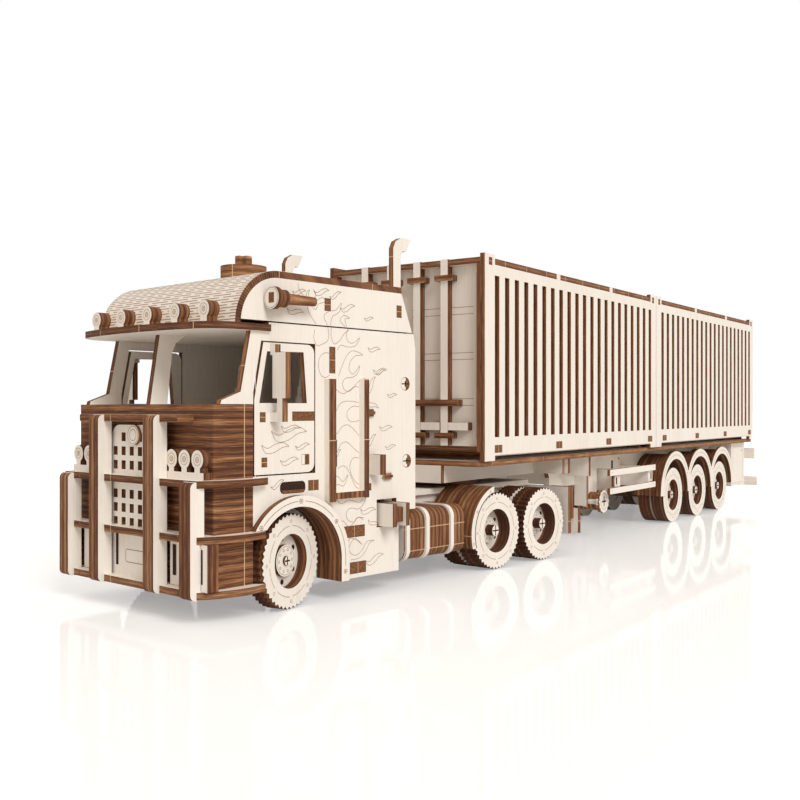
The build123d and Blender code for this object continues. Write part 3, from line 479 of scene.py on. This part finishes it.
def ring(board, centre, radius, width=0.3, steps=24):
    stroke(board, around(centre, radius, steps=steps)[:-1], "line", width, True)


def disc(board, centre, radius, ink, steps, lift=patch_lift):
    patch(board, around(centre, radius, steps=steps)[:-1], ink, lift)


def point_on(centre, radius, turn):
    return around(centre, radius, turn, turn, 1)[0]


# The line across a circle at an angle
def diameter(centre, radius, turn):
    return around(centre, radius, turn, turn + 180, 1)


def rectangle(u0, v0, u1, v1):
    return ((u0, v0), (u1, v0), (u1, v1), (u0, v1))


# A rectangle between the centres of its rounded corners
def rounded(u0, v0, u1, v1, radius, steps):
    points = []
    for u, v, start in ((u0, v1, 90), (u0, v0, 180), (u1, v0, 270), (u1, v1, 0)):
        points += around((u, v), radius, start, start + 90, steps)
    return points


# A tab's burnt end in a slot, crossed by one pale bridge mark
def tab(board, u0, v0, u1, v1):
    corners = rectangle(u0, v0, u1, v1)
    patch(board, corners)
    # The gap round the tab is near black: painted shade
    stroke(board, corners, "black", 0.25, True, outline_lift)
    if abs(v1 - v0) > abs(u1 - u0):
        middle = (v0 + v1) / 2
        stroke(board, ((u0, middle), (u1, middle)), "tick", 0.3, lift=bridge_lift)
    else:
        middle = (u0 + u1) / 2
        stroke(board, ((middle, v0), (middle, v1)), "tick", 0.3, lift=bridge_lift)


# A smooth line through control points
def smooth(points, steps=6):
    padded = [points[0]] + list(points) + [points[-1]]
    line = []
    for index in range(1, len(padded) - 2):
        p0, p1, p2, p3 = (Vector(padded[index + k]) for k in (-1, 0, 1, 2))
        for step in range(steps):
            t = step / steps
            spot = 0.5 * (2 * p1 + (p2 - p0) * t + (2 * p0 - 5 * p1 + 4 * p2 - p3) * t ** 2
                          + (3 * p1 - p0 - 3 * p2 + p3) * t ** 3)
            line.append(tuple(spot))
    line.append(tuple(points[-1]))
    return line

# A small flame lick: two bent lines between the same ends, as shares of its length along and across
lick_lines = (
    ((0, 0), (0.22, -0.077), (0.5, 0.049), (0.78, 0.105), (1, 0.014)),
    ((0, 0), (0.16, -0.21), (0.45, -0.189), (0.75, -0.035), (1, 0.014)),
)


def lick(board, u, v, length, turn):
    turn = math.radians(turn)
    for outline in lick_lines:
        bent = []
        for a, b in outline:
            a, b = a * length, b * length
            along, across = a * math.cos(turn) - b * math.sin(turn), a * math.sin(turn) + b * math.cos(turn)
            bent.append((u + along, v + across))
        stroke(board, smooth(bent), "line", 0.22)


# Long flame tongues on the cab sides, as control points in Y and Z
tongues = (
    ((23.5, 112.6), (19.5, 113.4), (16.2, 111.6), (15.0, 107.6), (16.4, 103.4), (19.4, 102.2), (22.0, 103.4)),
    ((27.6, 103.0), (30.0, 108.0), (33.2, 112.8), (37.2, 115.0), (43.4, 113.4), (38.4, 112.6), (35.2, 109.8),
     (34.4, 106.2), (36.6, 104.2), (39.0, 105.6), (41.4, 108.2), (40.0, 104.6), (36.4, 102.6), (32.4, 102.2),
     (30.2, 99.8), (31.4, 96.8), (34.8, 96.2), (38.2, 98.8), (41.6, 101.4), (44.8, 102.4)),
    ((12.8, 123.4), (12.2, 119.6), (14.2, 116.4), (17.4, 117.2), (20.6, 118.8), (21.4, 121.8), (20.8, 125.0)),
    ((23.0, 125.0), (23.0, 120.6), (25.0, 117.6), (28.6, 119.6), (31.2, 122.6), (34.4, 124.6)),
    ((33.6, 124.8), (32.6, 121.4), (34.4, 118.8), (37.6, 118.8), (41.4, 121.2), (38.6, 117.4), (33.6, 116.6),
     (29.0, 117.2), (26.8, 114.8)),
    ((23.6, 99.6), (26.6, 96.6), (30.6, 95.0), (34.6, 96.6), (38.6, 98.4), (41.0, 98.0)),
    ((23.6, 84.6), (26.0, 86.8), (28.4, 90.2), (33.0, 91.6), (40.8, 91.0)),
    ((41.0, 89.0), (37.0, 89.2), (33.6, 87.2), (33.2, 84.0), (36.2, 82.0), (41.0, 82.6)),
    ((23.6, 79.0), (26.4, 76.6), (29.6, 79.6), (33.6, 80.6), (37.6, 78.4), (41.0, 75.4)),
    ((27.4, 69.4), (29.6, 72.2), (33.2, 72.6), (37.2, 69.8), (41.0, 67.4)),
    ((27.0, 60.6), (30.2, 61.8), (33.2, 60.4), (35.6, 56.6), (38.4, 52.2), (40.8, 50.6)),
    ((41.0, 65.0), (37.4, 65.2), (35.0, 62.2), (35.6, 58.0), (38.2, 54.4), (41.0, 52.6)),
    ((23.8, 56.2), (27.0, 57.2), (30.4, 54.6), (33.6, 57.6), (31.0, 52.6), (27.2, 53.4), (23.8, 52.0)),
    ((25.6, 47.0), (29.6, 44.4), (34.0, 45.8), (38.6, 44.8), (42.0, 44.4), (46.0, 47.6), (44.0, 43.4),
     (40.4, 41.2), (35.6, 42.0), (32.6, 40.0), (33.6, 36.8), (37.2, 35.4), (40.0, 37.2), (44.4, 36.8)),
    ((27.8, 35.4), (30.6, 36.4), (33.8, 33.6), (37.0, 34.6), (40.6, 37.4), (44.0, 35.8)),
    ((33.0, 25.6), (35.4, 28.0), (39.6, 26.6), (42.8, 24.4), (38.4, 27.6), (34.6, 24.4), (35.2, 21.2),
     (39.4, 19.8), (43.2, 22.0), (46.4, 25.4), (51.4, 25.6)),
    ((51.4, 25.6), (48.0, 24.4), (45.2, 20.8), (41.0, 18.2), (35.6, 18.0)),
)
# Small licks on the cab sides, doors and roof sides: Y, Z, length, turn in degrees
side_licks = (
    (47.0, 117.0, 8.4, -4), (50.6, 106.6, 9.6, 0), (52.4, 105.2, 6.4, 14), (45.0, 95.6, 10.6, 46),
    (60.4, 95.2, 7.0, -4), (45.2, 92.6, 10.0, -26), (55.0, 79.6, 9.0, -4), (45.4, 71.0, 8.6, 34),
    (59.0, 70.0, 7.4, 0), (45.2, 66.6, 6.4, -12), (42.0, 41.0, 10.4, -6), (47.2, 35.8, 8.0, -26),
    (45.2, 16.4, 12.6, 8), (-13.0, 54.6, 8.0, 18), (24.2, 66.0, 6.0, 34),
)
door_licks = (
    (-18.0, 72.6, 15.5, -4), (-12.6, 78.4, 20.5, -2), (-7.6, 65.8, 10.6, 0), (1.2, 71.6, 8.4, 4),
    (-7.0, 80.6, 11.0, -6),
)
roof_licks = (
    (-3.6, 131.8, 9.6, -8), (-0.6, 139.6, 8.0, 4), (12.2, 140.6, 9.4, 6), (21.8, 139.0, 7.8, 18),
    (28.6, 134.4, 9.8, 8), (44.6, 130.8, 6.2, 2), (5.8, 133.6, 8.4, 62),
)
roof_tongues = (
    ((2.6, 143.4), (3.6, 140.2), (6.0, 138.2)),
    ((11.8, 141.4), (13.4, 139.4), (12.6, 136.0), (17.4, 138.2), (19.0, 136.4), (15.0, 135.0), (13.2, 132.4),
     (10.2, 134.4), (8.6, 137.0), (8.6, 132.0), (11.4, 128.2), (13.6, 125.9)),
    ((20.8, 125.9), (18.4, 129.6), (21.4, 132.2), (26.0, 133.2), (29.4, 136.6), (28.0, 132.4), (23.6, 129.8),
     (22.6, 125.9)),
    ((31.8, 125.9), (28.6, 128.6), (31.0, 131.0), (34.8, 130.0), (31.8, 129.4), (32.8, 125.9)),
)
# Ends of hidden tabs: low Y and Z, then high Y and Z
side_tabs = (
    (21.9, 104.2, 25.4, 116.2), (23.4, 61.6, 26.5, 73.8), (31.0, 28.4, 44.8, 33.6), (35.0, 11.4, 45.6, 16.6),
    (45.6, 49.5, 49.2, 52.7), (8.9, 51.8, 15.0, 56.2), (18.9, 132.4, 22.6, 138.0), (67.2, 132.6, 70.6, 138.4),
)
door_tabs = ((-18.8, 82.4, -15.9, 86.5), (-17.9, 63.2, -15.0, 67.2))
dowels = ((73.4, 100.3), (74.4, 62.4))
fender_bolts = ((1.9, 47.7), (23.4, 37.1), (29.2, 13.8), (-20.6, 37.8))


# Flames, tab ends, the sill slot, and dowel ends with a burnt half and a cross cut
def draw_cab_side(side):
    wall = side_board("tractor", tractor, cab_face, side)
    for points in tongues + roof_tongues:
        stroke(wall, smooth(points), "line", 0.21)
    for u, v, length, turn in side_licks + roof_licks:
        lick(wall, u, v, length, turn)
    for limits in side_tabs:
        tab(wall, *limits)
    # The sill slot, the gaps round the dowels and their cross cuts are near black: painted shade
    patch(wall, rounded(-5.6, 53.2, 5.0, 54.2, 2.1, 6), "black")
    patch(wall, rectangle(-6.6, 51.3, 6.4, 52.6), "dark", outline_lift)
    for y, z in dowels:
        disc(wall, (y, z), 3.3, "black", 24)
        disc(wall, (y - 0.25, z), 3.0, "pale", 24, line_lift)
        patch(wall, around((y, z), 3.0, -84, 84, 12), "dark", outline_lift)
        patch(wall, rectangle(y - 2.6, z - 0.3, y + 2.8, z + 0.3), "black", bridge_lift)
        patch(wall, rectangle(y - 0.4, z - 1.4, y + 0.4, z + 1.4), "black", bridge_lift)


# Flames, tab ends, the mirror's slot below the window and a small engraved square
def draw_cab_door(side, name):
    door = side_board("cab_door_" + name, tractor, cab_face, side)
    for u, v, length, turn in door_licks:
        lick(door, u, v, length, turn)
    for limits in door_tabs:
        tab(door, *limits)
    patch(door, rectangle(-0.6, 82.9, 12.4, 86.7))
    # The near black lines here are painted shade in the slot's gap and the small cut
    stroke(door, ((12.4, 82.9), (-0.6, 82.9), (-0.6, 86.7), (12.4, 86.7)), "black", 0.3, lift=outline_lift)
    stroke(door, rectangle(5.0, 63.4, 9.4, 67.9), "line", 0.25, True)
    patch(door, rectangle(6.8, 63.4, 9.4, 67.9))
    stroke(door, ((8.0, 63.4), (8.0, 67.9)), "black", 0.5, lift=outline_lift)


# Engraved arcs and bolt heads
def draw_front_fender(side):
    band = side_board("tractor", tractor, fender_band_face, side)
    for start, end in ((44, 84), (93, 138)):
        stroke(band, around(arch_centre, 27.75, start, end, 20), "line", 0.28)
    stroke(band, around(arch_centre, 27.75, 34, 0, 16) + [(29.25, 16.4)], "line", 0.28)
    for bolt in fender_bolts:
        ring(band, bolt, 0.95, steps=14)
        disc(band, bolt, 0.45, "line", 8)


def draw_horn(side):
    horn = front_board(horn_face)
    x = 56.6 * side
    ring(horn, (x, 135), 4.3, 0.2)
    # The dark square is the horn's mouth: painted shade
    patch(horn, rectangle(x - 1.7, 132.8, x + 1.7, 137.2))


for side, name in sides:
    draw_cab_side(side)
    draw_cab_door(side, name)
    draw_front_fender(side)
    draw_horn(side)

# Marker lamps and headlamps: rings and four screws on each disc
lamps = [(marker_lamp_face, x, 129.6) for x in (-41.2, -20.6, 0.0, 20.6, 41.2)]
lamps += [(headlamp_face, side * x, 67.3) for side in (-1, 1) for x in (28.0, 36.9, 45.8)]
for level, *centre in lamps:
    board = front_board(level)
    ring(board, centre, 1.05, 0.28, 16)
    for start in (12, 102, 192, 282):
        stroke(board, around(centre, 2.35, start, start + 66, 8), "line", 0.2)
        disc(board, point_on(centre, 2.35, start - 12), 0.22, "line", 6)
    ring(board, centre, 0.4, 0.2, 8)

# Grille: blank badge and blank plate
for radius in (3.9, 2.5):
    ring(front_board(badge_face), (0, 76.6), radius, 0.25)
stroke(front_board(grille_face), rounded(-6.7, 21.6, 6.7, 24.8, 1.2, 4), "line", 0.35, True)

# ---- Small solid pieces, gathered per body and look ----
solids = {}


# A board between low and high limits, in a base frame, with slightly eased edges
def board_piece(body, base, x, y, z, look, ease=0.15):
    mesh = solids.setdefault((body, look), bmesh.new())
    part = bmesh.new()
    bmesh.ops.create_cube(part, size=1)
    size = Vector((x[1] - x[0], y[1] - y[0], z[1] - z[0]))
    centre = Vector((x[0] + x[1], y[0] + y[1], z[0] + z[1])) / 2
    for vertex in part.verts:
        vertex.co = Vector(a * b for a, b in zip(vertex.co, size)) + centre
    bmesh.ops.bevel(part, geom=part.edges[:], offset=ease, segments=2, affect="EDGES")
    add_mesh(mesh, part, base)


# Copies one mesh into another through a base frame
def add_mesh(mesh, part, base):
    made = {}
    for vertex in part.verts:
        made[vertex] = mesh.verts.new(base @ (vertex.co * mm))
    for flat in part.faces:
        mesh.faces.new([made[vertex] for vertex in flat.verts])
    part.free()


# A scalloped disc square to X between two levels, with a small chamfer at the outer one
def scalloped_disc(body, base, centre, low, high, radius, teeth, depth, look):
    mesh = solids.setdefault((body, look), bmesh.new())
    part = bmesh.new()
    steps = 2 * teeth
    chamfer = 0.15
    rings = []
    for level, grow in ((low, 0.0), (high - chamfer, 0.0), (high, -chamfer)):
        loop = []
        for step in range(steps):
            reach = radius + grow - (depth if step % 2 else 0.0)
            turn = 2 * math.pi * step / steps
            place = (level, centre[0] + reach * math.cos(turn), centre[1] + reach * math.sin(turn))
            loop.append(part.verts.new(place))
        rings.append(loop)
    for first, second in zip(rings, rings[1:]):
        for step in range(steps):
            after = (step + 1) % steps
            part.faces.new((first[step], first[after], second[after], second[step]))
    part.faces.new(rings[0])
    part.faces.new(rings[-1])
    bmesh.ops.recalc_face_normals(part, faces=part.faces[:])
    add_mesh(mesh, part, base)


def sided(side, low, high):
    return (low, high) if side > 0 else (-high, -low)


looks = {
    "board_y": plywood("ply_board_y", "y"),
    "board_z": plywood("ply_board_z", "z"),
    "peg": plywood("ply_peg", "x", edge=all_burnt),
    "trailer_x": plywood("ply_trailer_x", "x", trailer, ticks=("z", 40.0, 25.2)),
}


# Slatted backs, headrests and slatted cushions
def dress_seat(side):
    across = sided(side, 15.6, 32.4)
    for number in range(6):
        z = 69 + number * 5.1
        y = 29.4 + (z - 68) * 7 / 30
        board_piece("tractor", tractor, across, (y - 1.2, y + 0.8), (z, z + 4.6), "board_y", 0.3)
    board_piece("tractor", tractor, sided(side, 18.5, 29.5), (34.6, 38.2), (100.5, 110.8), "board_y", 0.5)
    for number in range(5):
        y = 3.0 + number * 5.2
        board_piece("tractor", tractor, across, (y, y + 4.6), (66.0, 67.4), "board_z", 0.3)


# Pale boards behind the bull bar, with a slot in each and one beside the inner post
def dress_bull_bar(side):
    boards = ((25.4, 42.6, grille_face, -43), (50.9, 55.0, corner_board_face, -43.2))
    for inner, outer, front, back in boards:
        board_piece("tractor", tractor, sided(side, inner, outer), (front, back), (14.35, 33.4), "board_y")
    grille = front_board(grille_face)
    # The slots are near black: painted shade
    patch(grille, rectangle(side * 27.6, 18.5, side * 30.0, 31.4), "black", 0.2)
    patch(grille, rectangle(side * 13.6, 18.5, side * 15.6, 33.4), "black", slot_lift)
    patch(front_board(corner_board_face), rectangle(side * 51.1, 17.5, side * 52.1, 31.4), "black", slot_lift)


# Pale pads with a slot in the side guards, and the landing gear's scalloped disc with its cross
def dress_trailer(side):
    for y in (189.4, 254.0):
        across = sided(side, 44.6, pad_face)
        board_piece("trailer", trailer, across, (y - 3.0, y + 3.4), (34.3, 42.5), "trailer_x", 0.3)
        pad = side_board("trailer", trailer, pad_face, side)
        # The slot is near black: painted shade
        patch(pad, rectangle(y - 0.8, 36.0, y + 1.2, 40.8), "black", slot_lift)
    centre = (178, 25)
    low, high = 41.9 * side, landing_disc_face * side
    scalloped_disc("trailer", trailer, centre, low, high, 8.4, 14, 0.9, "trailer_x")
    hub = side_board("trailer", trailer, landing_disc_face, side)
    # The cross cut in the hub is near black: painted shade
    for turn in (0, 90):
        stroke(hub, diameter(centre, 3.4, turn), "black", 1.1, lift=slot_lift)
    ring(hub, centre, 5.4, 0.25)


# Pegs that stand out of the cab side: limits in Y and Z
pegs = (((44.7, 50.8), (84.4, 87.9)), ((56.2, 63.2), (54.0, 57.2)))
for side in (1, -1):
    for y, z in pegs:
        board_piece("tractor", tractor, sided(side, cab_face, 53.6), y, z, "peg", 1.0)
    dress_bull_bar(side)
    dress_seat(side)
    dress_trailer(side)

# Two slats on the console
for y in (-7.0, -3.0):
    board_piece("tractor", tractor, (-5.0, 5.0), (y, y + 2.4), (84.0, 85.0), "board_z", 0.2)

# ---- Wheels ----
# Faces of the tread disc, rim, hub and shaft end, as distances in X, and the shafts' half width
front_levels, front_shaft = (12.0, 7.0, 9.0, 10.0), 2.0
drive_levels, drive_shaft = (50.0, 42.0, 44.0, 49.0), 3.0
trailer_levels, trailer_shaft = (46.5, 40.5, 42.5, 45.5), 3.0


# Arcs and bolts on the tread disc, vents in the rim, bolts on the hub and a cross cut in the shaft
def draw_wheel(body, base, side, levels, shaft, y):
    centre = (y, axle_height)
    tread, rim, hub, end = [side_board(body, base, level, side) for level in levels]
    for start in range(0, 360, 45):
        stroke(tread, around(centre, 15.6, start + 4, start + 41, 7), "line", 0.24)
        ring(tread, point_on(centre, 17.6, start), 0.65, 0.2, 10)
    # The rim's vents and the shaft's cross cut below are near black: painted shade
    for number in range(6):
        disc(rim, point_on(centre, 9.6, 30 + 60 * number), 1.25, "black", 12)
    ring(hub, centre, 6.3, 0.2, 32)
    for number in range(10):
        ring(hub, point_on(centre, 4.9, 36 * number), 0.55, 0.22, 10)
    for turn in (0, 90):
        stroke(end, diameter(centre, shaft * 0.92, turn), "black", 0.7, lift=bridge_lift)


for side, name in sides:
    draw_wheel("front_wheel_" + name, wheel_bases[name], side, front_levels, front_shaft, 0)
    for number, y in enumerate(drive_ys, 1):
        draw_wheel(f"drive_axle_{number}", tractor, side, drive_levels, drive_shaft, y)
    for number, y in enumerate(trailer_ys, 1):
        draw_wheel(f"trailer_axle_{number}", trailer, side, trailer_levels, trailer_shaft, y)

# ---- Roof: kerf slits along the bend, the marks they leave on its edge, and bridge marks ----
# Rows, angles of the first and from row to row in degrees, and lengths, with half a slit's width
slit_rows = 28
slit_start, slit_pitch = 4.0, 3.15
slit_length, slit_gap = 12.2, 3.0
slit_half = 0.19
slit_shift = (slit_length + slit_gap) / 2


# One row of slits at an angle round the bend; every second row is shifted by half a slit and gap
def draw_slits(mesh, turn, shift):
    out = Vector((0, -math.cos(turn), math.sin(turn)))
    across = Vector((0, math.sin(turn), math.cos(turn))) * slit_half
    spot = Vector((0, *bend_centre)) + out * (bend_radius + patch_lift)
    x = -cab_face - shift
    while x < cab_face:
        low, high = max(x, -cab_face), min(x + slit_length, cab_face)
        if high - low > 1.0:
            first, last = Vector((low, 0, 0)), Vector((high, 0, 0))
            corners = (first - across, last - across, last + across, first + across)
            face(mesh, [tractor @ ((spot + corner) * mm) for corner in corners], out)
        x += slit_length + slit_gap


slits = drawing("tractor", "line")
bend_y, bend_z = bend_centre
for row in range(slit_rows):
    turn = math.radians(slit_start + slit_pitch * row)
    draw_slits(slits, turn, slit_shift if row % 2 else 0.0)
    # The slits' ends on the side edge are near black: painted shade in the gaps
    for side in (1, -1):
        points = [(bend_y - r * math.cos(turn), bend_z + r * math.sin(turn)) for r in (20.8, 23.6)]
        stroke(side_board("tractor", tractor, cab_face, side), points, "black", 0.34 if row % 2 else 0.22)
for side in (1, -1):
    edge = side_board("tractor", tractor, cab_face, side)
    for y in (-8.2, 50.0):
        stroke(edge, ((y, 144.5), (y, 147.3)), "tick", 0.4, lift=bridge_lift)

# ---- Containers: tab ends and pale marks in the sides, blank engraved bars on the doors ----
floor_tabs = ((10.6, 84.9, 159.2, 233.4), (13.3, 87.2, 160.7, 234.3))
for side in (1, -1):
    wall = side_board("trailer", trailer, container_face, side)
    for start, places in zip(container_starts, floor_tabs):
        for y in [start + place for place in places]:
            tab(wall, y, 64.4, y + 8.0, 68.3)
        for y in (start + 85.4, start + 164.4):
            patch(wall, rectangle(y, 165.5, y + 5, 168.9), "pale")
        for y in (start + 4.3, start + 241.6):
            tab(wall, y, 165.2, y + 3.4, 169.1)
        stroke(wall, ((start + 11, 62.9), (start + 238, 62.9)), "line", 0.25)
door_boards = [(Board("trailer", trailer, "y", front_doors_face, -1), side) for side in (1, -1)]
for side, name in sides:
    door_boards.append((Board("container_door_" + name, trailer, "y", rear_doors_face, 1), side))
for board, side in door_boards:
    for low, high in ((139.5, 143.3), (114.9, 118.5), (89.9, 93.5)):
        stroke(board, rectangle(side * 3.0, low, side * 43.0, high), "line", 0.28, True)
    stroke(board, ((side * 44.6, 72.0), (side * 44.6, 162.0)), "line", 0.2)

# ---- Trailer frame, fenders and tail boxes, and the tractor's rear fenders ----
# Near black marks below are painted shade: the tail box hole, the arc by the drive tyre, the rails' slots and
# holes
for side in (1, -1):
    box = side_board("trailer", trailer, tail_box_face, side)
    stroke(box, rectangle(461, 20, 493, 53), "line", 0.3, True)
    disc(box, (488.5, 49.5), 0.8, "black", 10)
    fender = side_board("trailer", trailer, guard_face, side)
    for y in trailer_ys:
        stroke(fender, around((y, 22), 30.2, 33, 147, 24), "line", 0.22)
        for turn in (30, 150):
            disc(fender, point_on((y, 22), 30.2, turn), 0.5, "line", 8)
    rear = side_board("tractor", tractor, rear_fender_face, side)
    drive_centre = (drive_ys[0], axle_height)
    stroke(rear, around(drive_centre, 22.3, 106, 199, 24), "black", 0.55)
    for turn in (112, 150, 192):
        ring(rear, point_on(drive_centre, 23.8, turn), 0.6, 0.25, 10)
    rail = side_board("trailer", trailer, rail_face, side)
    for y in (150, 190, 232):
        patch(rail, rectangle(y, 44, y + 3, 50), "black")
        disc(rail, (y + 14, 51), 0.9, "black", 10)
    guard = side_board("trailer", trailer, guard_face, side)
    for y in (178, 254):
        for z in (32.2, 44.7):
            disc(guard, (y, z), 0.4, "line", 8)


# Makes one object of a gathered mesh, riding on its body
def finish_piece(mesh, name, body, material):
    data = bpy.data.meshes.new(name)
    mesh.to_mesh(data)
    mesh.free()
    data.materials.append(material)
    piece = bpy.data.objects.new(name, data)
    bpy.context.collection.objects.link(piece)
    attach(piece, body)


ink_names = {
    "line": "engraving",
    # Charred tab ends, and the horns' mouths in painted shade
    "dark": "tab_ends_and_hole_shade",
    # Near black marks: painted shade in slots, holes, gaps and cuts
    "black": "slots",
    "pale": "pale_marks",
    "tick": "bridge_marks",
}
for (body, ink), mesh in drawings.items():
    finish_piece(mesh, f"{ink_names[ink]}_{body}", body, inks[ink])
for (body, look), mesh in solids.items():
    finish_piece(mesh, f"boards_{look}_{body}", body, looks[look])

# ---- Floor and light ----
# The floor's half size and its height in metres, how strongly it glows, and the fill light's colour
floor_size = 30
floor_height = -0.0002
floor_glow = 0.30
fill_colour = (0.70, 0.645, 0.575, 1)
white = (1, 1, 1, 1)


# 1 for rays of the given kinds, 0 for others
def ray_mask(tree, *kinds):
    rays = tree.nodes.new("ShaderNodeLightPath")
    mask = rays.outputs[f"Is {kinds[0]} Ray"]
    for kind in kinds[1:]:
        mask = calc(tree, "MAXIMUM", mask, rays.outputs[f"Is {kind} Ray"])
    return mask


# White floor with a faint mirror image and a glow that only camera and mirrored rays see
def floor_material():
    material = bpy.data.materials.new("floor")
    material.use_nodes = True
    tree = material.node_tree
    shader = tree.nodes["Principled BSDF"]
    shader.inputs["Base Color"].default_value = (0.80, 0.79, 0.785, 1)
    shader.inputs["Roughness"].default_value = 0.06
    shader.inputs["Specular IOR Level"].default_value = 0.035
    glow = tree.nodes.new("ShaderNodeEmission")
    seen = ray_mask(tree, "Camera", "Glossy")
    tree.links.new(calc(tree, "MULTIPLY", seen, floor_glow), glow.inputs["Strength"])
    both = tree.nodes.new("ShaderNodeAddShader")
    tree.links.new(shader.outputs[0], both.inputs[0])
    tree.links.new(glow.outputs[0], both.inputs[1])
    tree.links.new(both.outputs[0], tree.nodes["Material Output"].inputs["Surface"])
    return material


floor_mesh = bmesh.new()
bmesh.ops.create_grid(floor_mesh, x_segments=2, y_segments=2, size=floor_size)
floor_data = bpy.data.meshes.new("floor")
floor_mesh.to_mesh(floor_data)
floor_mesh.free()
floor_data.materials.append(floor_material())
floor = bpy.data.objects.new("floor", floor_data)
floor.location.z = floor_height
bpy.context.collection.objects.link(floor)

# A warm fill on the model, white where the camera or a mirrored ray sees the surroundings
world = bpy.data.worlds.new("world")
bpy.context.scene.world = world
world.use_nodes = True
seen = ray_mask(world.node_tree, "Camera", "Glossy", "Transmission")
sky = mix(world.node_tree, seen, fill_colour, white)
world.node_tree.links.new(sky, world.node_tree.nodes["Background"].inputs["Color"])

key_data = bpy.data.lights.new("key", "SUN")
key_data.energy = 1.75
key_data.angle = math.radians(25)
key_data.color = (0.96, 0.985, 1.0)
key = bpy.data.objects.new("key", key_data)
key.rotation_euler = Vector((-0.80, 0.28, -0.62)).to_track_quat("-Z", "Y").to_euler()
bpy.context.collection.objects.link(key)

bpy.context.scene.view_settings.view_transform = "Standard"
